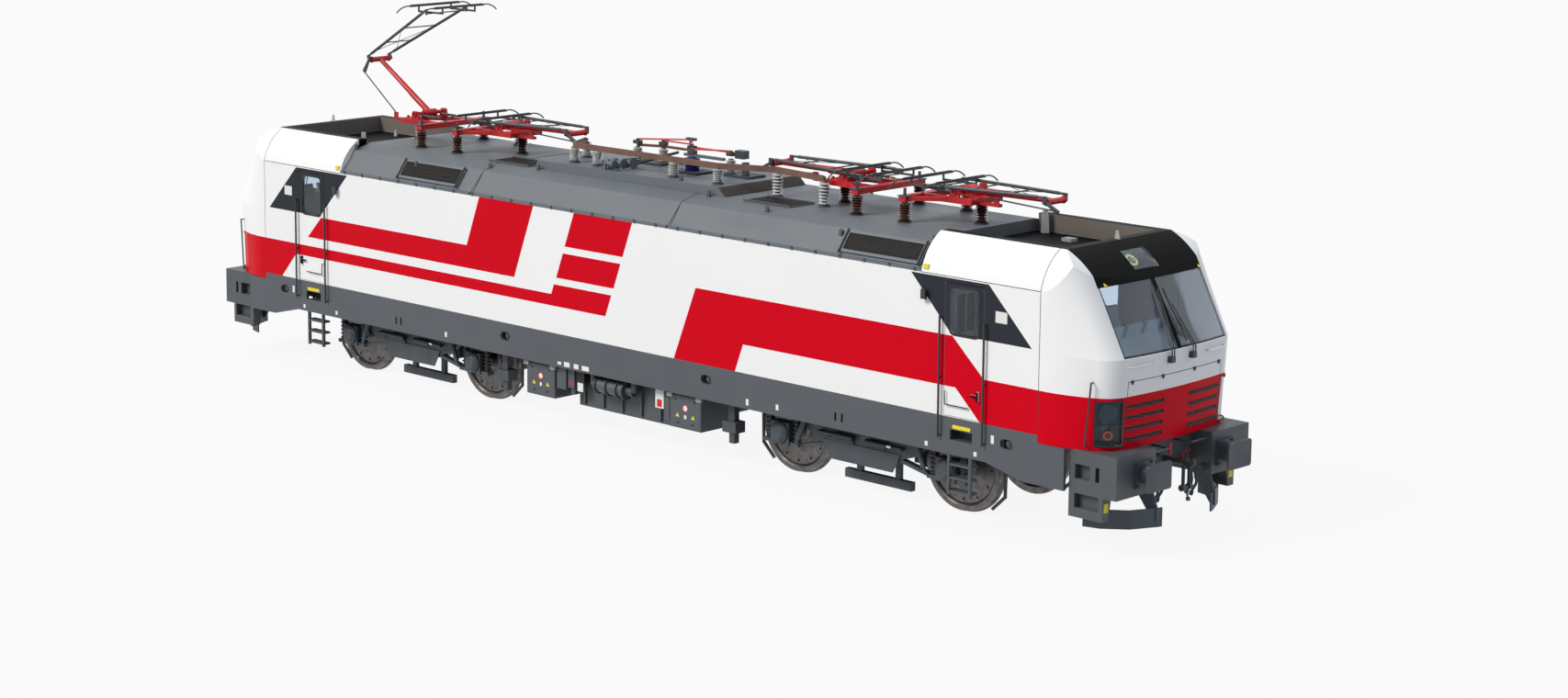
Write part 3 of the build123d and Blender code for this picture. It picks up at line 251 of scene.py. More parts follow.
# Fired glaze on porcelain, under a clear gloss with a sharp, wet highlight.
BROWN_GLAZE = enamel("brown_glaze", "#4C302B", 0.18, 0.28, coat=0.5)
PALE_GLAZE = enamel("pale_glaze", "#B4B8B8", 0.2, 0.3, coat=0.5)
BLUE_GLAZE = enamel("blue_glaze", "#2B2C78", 0.25, 0.35, coat=0.3)
# Enamel on coiled spring steel, applied by dipping: smooth and nearly black.
SPRING_BLACK = enamel("spring_enamel", "#23282D", 0.4, 0.5)


def two_tone(name, main, other, rough, places):
    """Enamel with another colour at some places, each given by an axis and two limits in metres."""
    material, tree = empty_material(name)
    place = add(tree, "TexCoord").outputs["Object"]
    parts = add(tree, "SeparateXYZ", {0: place}).outputs
    mask = chain(tree, "MAXIMUM", [
        add(tree, "Math", {0: parts[axis], 1: (low + high) / 2, 2: (high - low) / 2}, operation="COMPARE")
        for axis, low, high in places])
    paints = [dusty(tree, place, colour, tone=0.1, patch_mm=150.0)[0] for colour in (main, other)]
    mixed = add(tree, "Mix", {"Factor": mask, "A": paints[0], "B": paints[1]}, data_type="RGBA")
    roughness = add(tree, "MapRange", {"Value": mask, "To Min": rough[0], "To Max": rough[1]})
    close_material(tree, {"Base Color": mixed.outputs["Result"], "Roughness": roughness, "IOR": ENAMEL_IOR})
    return material


# Glazed porcelain with cast feet that stand on the roof or on the platform, and switches in a blue
# housing with grey ends. The porcelain shines, and the castings are satin.
FEET = [("Z", 3.788, 3.816), ("Z", 3.9195, 3.946)]
BROWN_INSULATOR = two_tone("brown_insulator", "#22130F", "#2A2C2E", (0.25, 0.5), FEET)
PALE_INSULATOR = two_tone("pale_insulator", "#6F7372", "#4A5158", (0.25, 0.5), FEET)
SWITCH_GEAR = two_tone("switch_gear", "#24267C", "#565F68", (0.35, 0.45),
                       [("Z", 4.158, 4.5), ("Y", -1.2, -0.4)])
print(len(bpy.data.materials), "materials so far")


# %% [markdown]
# Laminated glass is clear with a faint blue-grey tint, and a lamp's cover is clear moulded plastic.
# Both let all light through. Real glass has an index near 1.5, but the white room of this scene
# mirrors far more light into a pane than a sky does. So the indices are lower here, and the panes
# look as dark and clear as in the open.

# %% Glass
def glass(name, colour, rough, ior):
    """Clear or tinted glass."""
    material, tree = empty_material(name)
    close_material(tree, {"Base Color": linear(colour), "Roughness": rough, "IOR": ior,
                          "Transmission Weight": 1.0})
    return material


SCREEN_GLASS = glass("laminated_glass", "#DCE8F3", 0.02, 1.40)
LAMP_GLASS = glass("lamp_cover_polycarbonate", "#B4C0CA", 0.03, 1.22)
print("the panes are", SCREEN_GLASS.name, "and", LAMP_GLASS.name)

# %% [markdown]
# The livery is paint on smooth panels: white, with slanting bands of red and dark grey fields
# round the doors. Each field is a convex outline in a side view, in metres. The far side carries the
# same pattern turned half round, so x is turned over there first.

# %% Livery outlines
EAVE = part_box("side_walls")[1].z
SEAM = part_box("side_walls")[1].x            # where the side wall meets the nose
HALF_WIDTH = -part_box("side_walls")[0].y
BELT_LOW, BELT_HIGH = 1.895, 2.070          # the thin stripe
BAND_LOW, BAND_HIGH = 2.215, 2.570          # the upper left band
LEAN = 0.377                                # metres along for one metre up, of the steep slants
BELOW, ABOVE = 1.0, 3.45                    # heights outside the wall


def slanted(x_low, x_high, z_low, z_high):
    """Field with two steep slants, given by where its sides are at z_low."""
    lean = LEAN * (z_high - z_low)
    return [(x_low, z_low), (x_high, z_low), (x_high + lean, z_high), (x_low + lean, z_high)]


RED_FIELDS = [
    [(-6.904, BAND_LOW), (-3.05, BAND_LOW), (-2.995, BAND_HIGH), (-6.560, BAND_HIGH)],
    slanted(-3.134, -1.918, BAND_LOW, ABOVE),
    [(-12.0, BELT_LOW), (-1.0, BELT_LOW), (-1.09, BELT_HIGH), (-12.0, BELT_HIGH)],
    slanted(-1.165, 0.065, BELT_LOW, 2.224),
    [(-12.0, BELOW), (-8.031, BELOW), (-7.222, BELT_LOW), (-12.0, BELT_LOW)],
    slanted(-0.990, 0.236, 2.330, 2.715),
    slanted(-0.807, 0.422, 2.821, ABOVE),
    [(1.470, 1.470), (2.681, 1.470), (3.10, BAND_HIGH), (1.906, BAND_HIGH)],
    [(2.80, 1.890), (6.668, 1.890), (7.145, 2.064), (6.601, BAND_HIGH), (2.80, BAND_HIGH)],
    [(6.50, 1.900), (12.0, 1.900), (12.0, BELT_HIGH), (6.50, BELT_HIGH)],
    [(7.585, BELOW), (12.0, BELOW), (12.0, 1.900), (6.656, 1.900)],
]
DOOR_FIELD = [(6.58, 2.59), (7.91, 2.59), (7.19, 3.33), (5.88, 3.33)]
DARK_FIELDS = [DOOR_FIELD, [(-x, z) for x, z in DOOR_FIELD]]
BLANK_PLATES = [[(s * 7.31, 2.85), (s * 7.50, 2.85), (s * 7.50, 3.00), (s * 7.31, 3.00)] for s in (-1, 1)]


# %% [markdown]
# An outline becomes a mask: a point is inside a convex outline when it lies to the left of every
# edge, walked anticlockwise. Each edge is one dot product and one comparison.

# %% Masks
def inside(tree, place, outline):
    """1 where the place's (x, z) lies in the convex outline."""
    area = sum(a[0] * b[1] - b[0] * a[1] for a, b in zip(outline, outline[1:] + outline[:1]))
    outline = outline if area > 0 else outline[::-1]
    edges = []
    for a, b in zip(outline, outline[1:] + outline[:1]):
        normal = (a[1] - b[1], 0.0, b[0] - a[0])
        limit = normal[0] * a[0] + normal[2] * a[1]
        reach = add(tree, "VectorMath", {0: place, 1: normal}, operation="DOT_PRODUCT").outputs["Value"]
        edges.append(add(tree, "Math", {0: reach, 1: limit}, operation="GREATER_THAN"))
    return chain(tree, "MULTIPLY", edges)


# %% [markdown]
# Inside the cab the same solids show their lining, which is plain pale grey, made paler still as
# painted light for the dim, closed cab. A face belongs to the inside when it looks towards the
# middle of the cab. The front panel above the screens and the top of the cab roof are black, between
# the white shoulders. The trough in the cab roof has brown-grey grip paint on its walls. Levers and
# grips that stand out from the side wall are black too.

# %% Livery paint
WHITE, RED, DARK, BLACK = "#E9EBEE", "#C7031C", "#2E3239", "#040506"
# The lining's grey is paler than its paint would be: painted light for the dim cab behind the glass.
PLATE_GREY, SEAM_GREY, LINING_GREY_WITH_PAINTED_LIGHT, TROUGH_GREY = "#D9DBDC", "#30343A", "#CDD3D9", "#736D68"
SEAM_HALF = 0.005
FLAP_TOP, FLAP_HALF_WIDTH = 2.262, 1.0      # the flap over the coupler on the nose
CAB_CENTRE = (7.3, 0.0, 2.4)
BLACK_LOW, BLACK_HALF_WIDTH = 3.415, 1.11   # the black panel above the screens
SCREEN_FOOT, RIM_HALF_WIDTH = 2.572, 1.094  # the black rim round the screens
SCREEN_START, FRONT_START = 0.55, 0.80      # rim and front begin this far beyond the seam
TROUGH_FLOOR = 3.622
PROUD = 0.001                               # what stands out from the wall by more than this is fitted

livery, tree = empty_material("livery_enamel")
coordinates = add(tree, "TexCoord")
place = coordinates.outputs["Object"]
at_x, at_y, at_z = add(tree, "SeparateXYZ", {0: place}).outputs
turned = add(tree, "Math", {0: add(tree, "Math", {0: at_y}, operation="SIGN"), 1: -1.0}, operation="MULTIPLY")
side_x = add(tree, "Math", {0: at_x, 1: turned}, operation="MULTIPLY")
side_place = add(tree, "CombineXYZ", {"X": side_x, "Y": 0.0, "Z": at_z}).outputs[0]
far_out = add(tree, "Math", {0: at_x}, operation="ABSOLUTE")
from_middle = add(tree, "Math", {0: at_y}, operation="ABSOLUTE")
end = add(tree, "Math", {0: at_x}, operation="SIGN")
centre_x = add(tree, "Math", {0: end, 1: CAB_CENTRE[0]}, operation="MULTIPLY")
centre = add(tree, "CombineXYZ", {"X": centre_x, "Y": CAB_CENTRE[1], "Z": CAB_CENTRE[2]})
outwards = add(tree, "VectorMath", {0: place, 1: centre}, operation="SUBTRACT")
facing = add(tree, "VectorMath", {0: outwards, 1: coordinates.outputs["Normal"]}, operation="DOT_PRODUCT")

OVER, UNDER, NEAR = "GREATER_THAN", "LESS_THAN", "COMPARE"
TESTS = {   # name of the mask: what is measured, test, limit in metres
    "in black panel": (at_z, OVER, BLACK_LOW),
    "between shoulders": (from_middle, UNDER, BLACK_HALF_WIDTH),
    "at screens": (far_out, OVER, SEAM + SCREEN_START),
    "over screen foot": (at_z, OVER, SCREEN_FOOT),
    "within rim": (from_middle, UNDER, RIM_HALF_WIDTH),
    "on front": (far_out, OVER, SEAM + FRONT_START),
    "on cab": (far_out, OVER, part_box("middle_roof")[1].x),
    "behind seam": (far_out, UNDER, SEAM),
    "within flap": (from_middle, UNDER, FLAP_HALF_WIDTH),
    "under flap top": (at_z, UNDER, FLAP_TOP),
    "seam": (far_out, NEAR, SEAM),
    "eave": (at_z, NEAR, EAVE),
    "flap top": (at_z, NEAR, FLAP_TOP),
    "flap side": (from_middle, NEAR, FLAP_HALF_WIDTH),
    "fitted": (from_middle, OVER, HALF_WIDTH + PROUD),
    "lining": (facing.outputs["Value"], UNDER, 0.0),
    "over trough floor": (at_z, OVER, TROUGH_FLOOR),
}
masks = {name: add(tree, "Math", {0: value, 1: limit, 2: SEAM_HALF}, operation=test)
         for name, (value, test, limit) in TESTS.items()}


def all_of(*names):
    """1 where all the named masks are."""
    return chain(tree, "MULTIPLY", [masks[name] for name in names])


def any_field(fields):
    """1 in any of the side view's fields."""
    return chain(tree, "MAXIMUM", [inside(tree, side_place, field) for field in fields])


black = chain(tree, "MAXIMUM", [all_of("in black panel", "between shoulders"),
                                all_of("at screens", "over screen foot", "within rim")])
seams = chain(tree, "MAXIMUM", [masks["seam"], all_of("eave", "on cab", "behind seam"),
                                all_of("flap top", "on front", "within flap"),
                                all_of("flap side", "on front", "under flap top")])
colour = dusty(tree, place, WHITE, tone=0.04, patch_mm=2500.0)[0]
for paint, mask in ((RED, any_field(RED_FIELDS)), (DARK, any_field(DARK_FIELDS)),
                    (PLATE_GREY, any_field(BLANK_PLATES)), (BLACK, black), (SEAM_GREY, seams),
                    (BLACK, masks["fitted"]), (LINING_GREY_WITH_PAINTED_LIGHT, masks["lining"]),
                    (TROUGH_GREY, all_of("lining", "over trough floor", "between shoulders"))):
    mix = add(tree, "Mix", {"Factor": mask, "A": colour, "B": linear(paint)}, data_type="RGBA")
    colour = mix.outputs["Result"]
# Glossy two-part enamel under wax: soft reflections, weaker than its index gives, which keep the
# white clean. The black panels are matt, so that they don't dazzle the driver.
roughness = add(tree, "MapRange", {"Value": black, "To Min": 0.28, "To Max": 0.5})
close_material(tree, {"Base Color": colour, "Roughness": roughness, "IOR": 1.3, "Specular IOR Level": 0.12})
print("livery has", len(RED_FIELDS), "red fields and", len(tree.nodes), "nodes")

# %% [markdown]
# Each solid now takes its finish.

# %% Finishes of the solids
FINISHES = (    # and the solids that take it, whose names may end in a number
    (livery, "side_walls nose cab_roofs door"), (SCREEN_GLASS, "windscreens door_glass"),
    (LAMP_GLASS, "headlamps"), (WHEEL_STEEL, "wheelset"),
    (SKIRT_GREY, "skirts equipment_boxes"), (FRAME_GREY, "underframe ladders transformer"),
    (ROOF_GREY, "middle_roof roof_grilles"), (CAB_GREY_WITH_PAINTED_LIGHT, "cab_inside"), (RAIL_BLACK, "wipers handrails"),
    (BUFFER_SLATE, "rail_guards buffers"), (UNDER_BLACK, "draw_gear bogie_motors"),
    (BOGIE_GREY, "bogie_frame bogie_axle_boxes"), (SPRING_BLACK, "bogie_suspension"),
    (PANTOGRAPH_RED, "pan_bases pan_lower_arm"), (ARM_STEEL, "pan_upper_arm pan_head pan_rod"),
    (BROWN_INSULATOR, "pan_insulators"), (PALE_INSULATOR, "bus_insulators"), (PALE_GLAZE, "roof_fins"),
    (BAR_COPPER, "busbar"), (SWITCH_GEAR, "breaker"),
)
finish_of = {name: finish for finish, names in FINISHES for name in names.split()}
for name, node in nodes.items():
    node.data.materials.clear()
    node.data.materials.append(finish_of[name.rstrip("_1234")])
print(len(nodes), "solids take", len(FINISHES), "finishes")

# %% [markdown]
# A workshop fits the small things last. They are made of blocks and of straight bars, and the
# door gaskets of flat rounded frames. One piece is one mesh of many such shapes. It rides on one
# body, and has one finish.

# %% Shapes
OTHER_END = Matrix.Rotation(math.pi, 4, "Z")
OTHER_SIDE = Matrix.Diagonal((1.0, -1.0, 1.0, 1.0))


def block(bm, low, high):
    """Box between two corners, in metres."""
    low, high = Vector(low), Vector(high)
    size = [abs(b - a) for a, b in zip(low, high)]
    place = Matrix.Translation((low + high) / 2) @ Matrix.Diagonal((*size, 1.0))
    return bmesh.ops.create_cube(bm, size=1.0, matrix=place)["verts"]


def bar(bm, start, end, radius, sides=8, end_radius=None):
    """Straight bar, or a cone with another radius at its end."""
    start, end = Vector(start), Vector(end)
    turn = (end - start).to_track_quat("Z", "Y").to_matrix().to_4x4()
    made = bmesh.ops.create_cone(
        bm, cap_ends=True, segments=sides, radius1=radius,
        radius2=radius if end_radius is None else end_radius,
        depth=(end - start).length, matrix=Matrix.Translation((start + end) / 2) @ turn)
    return made["verts"]


def run(bm, points, radius, sides=8):
    """Bars from point to point."""
    return [vert for a, b in zip(points, points[1:]) for vert in bar(bm, a, b, radius, sides)]


def evenly(low, high, count):
    """That many values from low to high."""
    return [low + (high - low) * i / (count - 1) for i in range(count)]


def ring_of(count, radius):
    """That many pairs of offsets, evenly round a circle."""
    angles = [math.tau * i / count for i in range(count)]
    return [(radius * math.cos(a), radius * math.sin(a)) for a in angles]


def repeat(bm, matrix):
    """Repeat all the shapes at the other end or on the other side."""
    made = bmesh.ops.duplicate(bm, geom=bm.verts[:] + bm.edges[:] + bm.faces[:])["geom"]
    verts = [item for item in made if isinstance(item, bmesh.types.BMVert)]
    bmesh.ops.transform(bm, matrix=matrix, verts=verts)


def corners(values):
    """Each point on both sides of the loco and at both ends."""
    return [(sx * x, sy * y, z) for x, y, z in values for sx in (-1, 1) for sy in (-1, 1)]


def fit(bm, name, finish, body="loco_body"):
    """Turn the shapes into a piece that rides on the body."""
    bmesh.ops.recalc_face_normals(bm, faces=bm.faces)
    mesh = bpy.data.meshes.new(name)
    bm.to_mesh(mesh)
    bm.free()
    mesh.materials.append(finish)
    made = bpy.data.objects.new(name, mesh)
    bpy.context.scene.collection.objects.link(made)
    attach(made, body)
    print(name, "has", len(mesh.polygons), "faces")


# Printed film on thin plate, even and nearly matt.
SIGN_YELLOW = enamel("sign_yellow", "#E6D01C", 0.45, 0.55, tone=0.05)
SIGN_WHITE = enamel("sign_white", "#E4E6E6", 0.45, 0.55, tone=0.05)
# Moulded plastic cover of an aerial, matt.
AERIAL_GREY = enamel("aerial_plastic", "#A9ADAE", 0.5, 0.6, tone=0.05)
# Glossy spray on levers and links, bright so that nobody misses them.
SIGNAL_RED = enamel("signal_red", "#C8141E", 0.35, 0.5, tone=0.1)
# Extruded rubber and carbon, which hardly shine. The same black is the painted shade along the nose's air
# slots and on the plate behind them.
BLACK_AND_PAINTED_SHADE = enamel("black_parts_and_painted_shade", "#0D0E10", 0.55, 0.7, tone=0.1)
# Pressed slats and wire mesh, browned by dust that the air leaves on them.
MESH_BROWN = enamel("mesh_brown", "#26221F", 0.5, 0.65, tone=0.3, patch_mm=50.0)
# Ground and polished rod, with a narrow bright line along it.
BRIGHT_STEEL = bare_metal("bright_steel", "#C9CDD1", 0.28)
# Glass of a screen that is switched off, dark and smooth.
SCREEN_BLACK = enamel("screen_black", "#15191E", 0.25, 0.35, tone=0.05)
# Moulded housing of a lamp, satin and a little green.
POCKET_GREY = enamel("lamp_pocket", "#7C837A", 0.4, 0.5, tone=0.1)
# Aluminium vapour on moulded plastic. It mirrors the dark inside of its pocket, so it is drawn dark.
REFLECTOR = bare_metal("vapour_coated_reflector", "#5C646A", 0.22)
# Resin caps of small diodes, lit from inside.
DIODE_YELLOW = enamel("diode_yellow", "#F2EE6A", 0.3, 0.4, tone=0.05, glow=("#F6F08A", 0.45))
print(len(bpy.data.materials), "materials in all")

# %% [markdown]
# The slatted air intakes on the roof's slope draw cooling air for the motors. Pressed slats stand
# upright in a frame, so rain runs off them. The slope's own direction is given by two points read
# off the grille solids.

# %% Slope grilles
GRILLE_X = ((-4.72, -3.28), (4.54, 5.98))
SLOPE_FOOT, SLOPE_HEAD = Vector((0.0, -1.476, EAVE)), Vector((0.0, -1.215, 3.70))
UP_SLOPE = SLOPE_HEAD - SLOPE_FOOT
OFF_SLOPE = Vector((0.0, -UP_SLOPE.z, UP_SLOPE.y)).normalized()


def on_slope(x, share, lift):
    """Point over the slope at that share of its height, lifted off it."""
    return Vector((x, 0.0, 0.0)) + SLOPE_FOOT + UP_SLOPE * share + OFF_SLOPE * lift


slats, end_bars = bmesh.new(), bmesh.new()
for x0, x1 in GRILLE_X:
    for x in evenly(x0 + 0.075, x1 - 0.075, 45):
        bar(slats, on_slope(x, 0.285, 0.020), on_slope(x, 0.855, 0.020), 0.0085, 4)
    for share in (0.43, 0.57, 0.71):
        bar(slats, on_slope(x0 + 0.065, share, 0.016), on_slope(x1 - 0.065, share, 0.016), 0.006, 4)
    for x in (x0 + 0.025, x1 - 0.025):
        bar(end_bars, on_slope(x, 0.12, 0.045), on_slope(x, 0.98, 0.045), 0.012, 6)
        for share in (0.2, 0.55, 0.9):
            bar(end_bars, on_slope(x, share, 0.03), on_slope(x, share, 0.052), 0.018, 6)
for shapes in (slats, end_bars):
    repeat(shapes, OTHER_END)
fit(slats, "grille_slats", MESH_BROWN)
fit(end_bars, "grille_end_bars", BLACK_AND_PAINTED_SHADE)

# %% [markdown]
# Flat grilles lie on the roof's top, one on each side of the platform. The platform's slanting end
# is louvred, and the rain strips along the eaves are held by small clips. Lifting eyes stand on the
# slope and beside the platform.

# %% Roof top fittings
TOP_GRILLES = (-3.15, 2.25)     # where each flat grille begins
EYES = corners([(4.44, 1.28, 3.62), (6.01, 1.19, 3.72), (2.9, 1.10, 3.735)]) + [
    (-2.0, -0.93, 3.79), (1.6, -0.93, 3.79), (0.9, -0.79, 3.92)]
louvres, bm = bmesh.new(), bmesh.new()
for x0 in TOP_GRILLES:
    for x in evenly(x0 + 0.03, x0 + 0.87, 24):
        block(louvres, (x - 0.006, -0.88, 3.804), (x + 0.006, -0.42, 3.811))
    for y in (-0.90, -0.40):
        bar(bm, (x0, y, 3.812), (x0 + 0.90, y, 3.812), 0.012, 6)
for y in evenly(-0.83, 0.83, 56):
    bar(louvres, (1.712, y, 3.918), (1.846, y, 3.796), 0.009, 4)
fit(louvres, "roof_louvres", MESH_BROWN)
for x in evenly(-5.94, 5.94, 28):
    for y in (-1.509, 1.509):
        block(bm, (x - 0.022, y - 0.008, 3.352), (x + 0.022, y + 0.008, 3.388))
        block(bm, (x - 0.006, y - 0.012, 3.38), (x + 0.006, y + 0.012, 3.402))
for x, y, z in EYES:
    block(bm, (x - 0.03, y - 0.02, z - 0.01), (x + 0.03, y + 0.02, z + 0.02))
    bar(bm, (x, y - 0.012, z + 0.05), (x, y + 0.012, z + 0.05), 0.032, 10)
fit(bm, "roof_clips_and_eyes", FRAME_GREY)

# %% [markdown]
# High voltage comes down from the pantographs through a brown busbar to the switches in the middle.
# Each white insulator stands on a steel foot and carries a cast head. The low beds under the
# switches are welded channels.

# %% High voltage gear
ROOF, PLATFORM = 3.79, 3.92             # heights that the feet stand on
BAR_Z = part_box("busbar")[1].z
SWITCH_HEADS = [(-0.9, 0.10), (-0.5, 0.25), (1.0, 0.15), (0.1, 0.25), (0.45, -0.10)]
BUS_FEET = [(-1.75, -0.15), (-1.5, -0.64), (-1.0, -0.64), (0.6, -0.64), (1.5, -0.64), (2.35, -0.30),
            (3.38, -0.45)]
BEDS = (    # two corners of each, in x and y
    ((-1.10, -0.02), (-0.30, 0.36)), ((0.18, -0.30), (0.72, 0.08)),
    ((0.85, -0.02), (1.52, 0.34)), ((-0.30, 0.36), (0.10, 0.56)))
LINKS = (   # two ends of each, as x, y and the height over the busbar
    ((-0.9, 0.10, 0.07), (-0.12, 0.45, 0.10)), ((-0.5, 0.25, 0.07), (0.1, 0.25, 0.07)),
    ((0.45, -0.10, 0.07), (1.0, 0.15, 0.07)), ((0.1, 0.30, 0.02), (1.2, 0.16, 0.05)),
    ((-0.12, 0.45, 0.10), (0.1, 0.25, 0.06)))
bm = bmesh.new()
for x, y in SWITCH_HEADS:
    block(bm, (x - 0.06, y - 0.045, BAR_Z), (x + 0.06, y + 0.045, BAR_Z + 0.05))
    bar(bm, (x, y, BAR_Z + 0.05), (x, y, BAR_Z + 0.075), 0.03, 6)
for x, y in BUS_FEET:
    bar(bm, (x, y, BAR_Z), (x, y, BAR_Z + 0.018), 0.022, 6)
    block(bm, (x - 0.05, y - 0.03, BAR_Z - 0.052), (x + 0.05, y + 0.03, BAR_Z - 0.039))
bar(bm, (-0.12, 0.45, 3.95), (-0.12, 0.45, BAR_Z + 0.12), 0.028, 8)
block(bm, (-0.20, 0.42, BAR_Z + 0.09), (-0.02, 0.48, BAR_Z + 0.13))
block(bm, (1.12, 0.10, BAR_Z - 0.02), (1.30, 0.22, BAR_Z + 0.10))
block(bm, (1.34, 0.02, PLATFORM), (1.42, 0.10, BAR_Z - 0.05))
fit(bm, "switch_heads", ARM_STEEL)

bm = bmesh.new()
for low, high in BEDS:
    block(bm, (*low, PLATFORM), (*high, PLATFORM + 0.035))
fit(bm, "switch_beds", UNDER_BLACK)

bm = bmesh.new()
for ends in LINKS:
    run(bm, [(x, y, BAR_Z + up) for x, y, up in ends], 0.013)
fit(bm, "switch_links", SIGNAL_RED)

bm = bmesh.new()
bar(bm, (-0.62, -0.46, 3.93), (0.05, 0.02, 4.17), 0.022, 8)
fit(bm, "earthing_rod", BLACK_AND_PAINTED_SHADE)

# %% [markdown]
# A porcelain insulator is turned with wide sheds, so that rain drips off and the surface path stays
# long. The solids have the core and blunt ribs. Sharp sheds go over them, from one list of feet. The
# busbar's flat strip stands on edge beside its carrier. Two aerials stand in each cab roof's trough.

# %% Sheds, strips and aerials
PAN_HINGE, PAN_MIRROR = 5.60, 4.60      # hinge of an outer pantograph, and mirror plane of the inner one
PAN_FEET = ((-0.57, -0.66), (-0.57, 0.66), (0.23, 0.0))
TROUGH_Z = 3.620


def sheds(bm, x, y, low, high, radius, count):
    """Thin conical sheds round an upright core."""
    step = (high - low - 0.05) / count
    for i in range(count):
        z = low + 0.045 + step * i
        bar(bm, (x, y, z), (x, y, z + step * 0.42), radius, 24, radius * 0.80)


bm = bmesh.new()
for x, y in BUS_FEET + [(-0.9, 0.10), (-0.5, 0.25), (1.0, 0.15)]:
    sheds(bm, x, y, PLATFORM if -2.09 < x < 1.70 else ROOF, BAR_Z - 0.04, 0.080, 7)
fit(bm, "pale_sheds", PALE_GLAZE)

bm = bmesh.new()
for u, y in PAN_FEET:
    for x in (PAN_HINGE + u, 2 * PAN_MIRROR - PAN_HINGE - u):
        for end in (-1, 1):
            sheds(bm, end * x, y, ROOF, 4.08, 0.088, 7)
fit(bm, "brown_sheds", BROWN_GLAZE)

bm = bmesh.new()
sheds(bm, 0.45, -0.10, PLATFORM, BAR_Z - 0.04, 0.125, 9)
fit(bm, "blue_sheds", BLUE_GLAZE)

bm = bmesh.new()
route = [foot for foot in BUS_FEET if foot[0] not in (-1.0, 0.6)]       # these two stand under a straight run
for (xa, ya), (xb, yb) in zip(route, route[1:]):
    along = Vector((xb - xa, yb - ya, 0.0))
    made = block(bm, (-along.length / 2 - 0.012, -0.006, -0.045), (along.length / 2 + 0.012, 0.006, 0.045))
    beside = Vector((along.y, -along.x, 0.0)).normalized() * 0.022
    middle = Vector(((xa + xb) / 2, (ya + yb) / 2, BAR_Z - 0.012)) + beside
    place = Matrix.Translation(middle) @ Matrix.Rotation(math.atan2(along.y, along.x), 4, "Z")
    bmesh.ops.transform(bm, matrix=place, verts=made)
fit(bm, "busbar_strip", BAR_COPPER)

bm = bmesh.new()
for x in (-2.925, 1.325):
    for side in (-1, 1):
        path = ((1.476, 3.40), (1.215, 3.70), (0.90, ROOF), (0.0, ROOF))
        run(bm, [(x, side * y, z) for y, z in path], 0.007, 6)
fit(bm, "roof_joints", FRAME_GREY)

bm = bmesh.new()
bar(bm, (6.24, 0.86, TROUGH_Z), (6.24, 0.86, TROUGH_Z + 0.31), 0.075, 4, 0.045)
block(bm, (6.83, 0.46, TROUGH_Z), (6.99, 0.60, TROUGH_Z + 0.045))
repeat(bm, OTHER_END)
fit(bm, "trough_aerials", AERIAL_GREY)

# %% [markdown]
# The corner headlamps sit in deep moulded pockets behind the clear cover. The upper lens is the
# headlight, and the lower one shows red at the rear. The third lamp is over the screens, and has a
# ring of small yellow diodes.

# %% Headlamps
LAMP = Vector((8.95, 1.235, 1.735))     # a corner lamp looks along its own +X
LOWER = -0.170                          # its lower lens, under its middle
RIM_BOW = 1.152                         # the rim lies on the corner's curve, this much times y squared
BROW, BROW_NORMAL = Vector((8.435, 0.0, 3.668)), Vector((0.634, 0.0, 0.773))
TOP_LAMP_Y = -0.13
pockets, lenses, reds, ring, darks = (bmesh.new() for _ in range(5))
for side in (-1, 1):
    made = [(pockets, block(pockets, (-0.200, -0.185, -0.285), (-0.192, 0.185, 0.285))),
            (pockets, block(pockets, (-0.192, -0.178, -0.05), (-0.135, 0.178, -0.042))),
            (lenses, bar(lenses, (-0.190, 0.0, 0.110), (-0.110, 0.0, 0.110), 0.07, 24, 0.125)),
            (lenses, bar(lenses, (-0.190, 0.0, LOWER), (-0.125, 0.0, LOWER), 0.045, 20, 0.085)),
            (reds, bar(reds, (-0.125, 0.0, LOWER), (-0.112, 0.0, LOWER), 0.075, 20, 0.066))]
    for s in (-1, 1):
        made.append((pockets, block(pockets, (-0.200, s * 0.185, -0.285), (-0.095, s * 0.178, 0.285))))
        made.append((pockets, block(pockets, (-0.200, -0.178, s * 0.285), (-0.095, 0.178, s * 0.278))))
        rim = [(0.006 - RIM_BOW * y * y, y, s * 0.290) for y in evenly(-0.19, 0.19, 9)]
        made.append((darks, run(darks, rim, 0.011, 6)))
    for y, z in ring_of(10, 0.05):
        made.append((ring, bar(ring, (-0.112, y, LOWER + z), (-0.106, y, LOWER + z), 0.008, 8, 0.005)))
    place = Matrix.Translation((LAMP.x, side * LAMP.y, LAMP.z)) @ Matrix.Rotation(side * math.pi / 4, 4, "Z")
    for shapes, verts in made:
        bmesh.ops.transform(shapes, matrix=place, verts=verts)

brow = Matrix.Translation(BROW) @ BROW_NORMAL.to_track_quat("Z", "Y").to_matrix().to_4x4()
top_lamp = Matrix.Translation((0.0, TOP_LAMP_Y, 0.0)) @ brow
made = block(darks, (-0.245, -0.235, -0.050), (0.245, 0.235, -0.045))
bmesh.ops.transform(darks, matrix=brow, verts=made)
made = bar(lenses, (0.0, 0.0, -0.045), (0.0, 0.0, -0.038), 0.045, 28)
bmesh.ops.transform(lenses, matrix=top_lamp, verts=made)
for x, y in ring_of(12, 0.080):
    made = bar(ring, (x, y, -0.045), (x, y, -0.032), 0.021, 8, 0.016)
    bmesh.ops.transform(ring, matrix=top_lamp, verts=made)
for shapes in (pockets, lenses, reds, ring, darks):
    repeat(shapes, OTHER_END)
fit(pockets, "lamp_pockets", POCKET_GREY)
fit(darks, "lamp_rims", BLACK_AND_PAINTED_SHADE)
fit(lenses, "lamp_reflectors", REFLECTOR)
fit(reds, "tail_lights", SIGNAL_RED)
fit(ring, "lamp_diodes", DIODE_YELLOW)

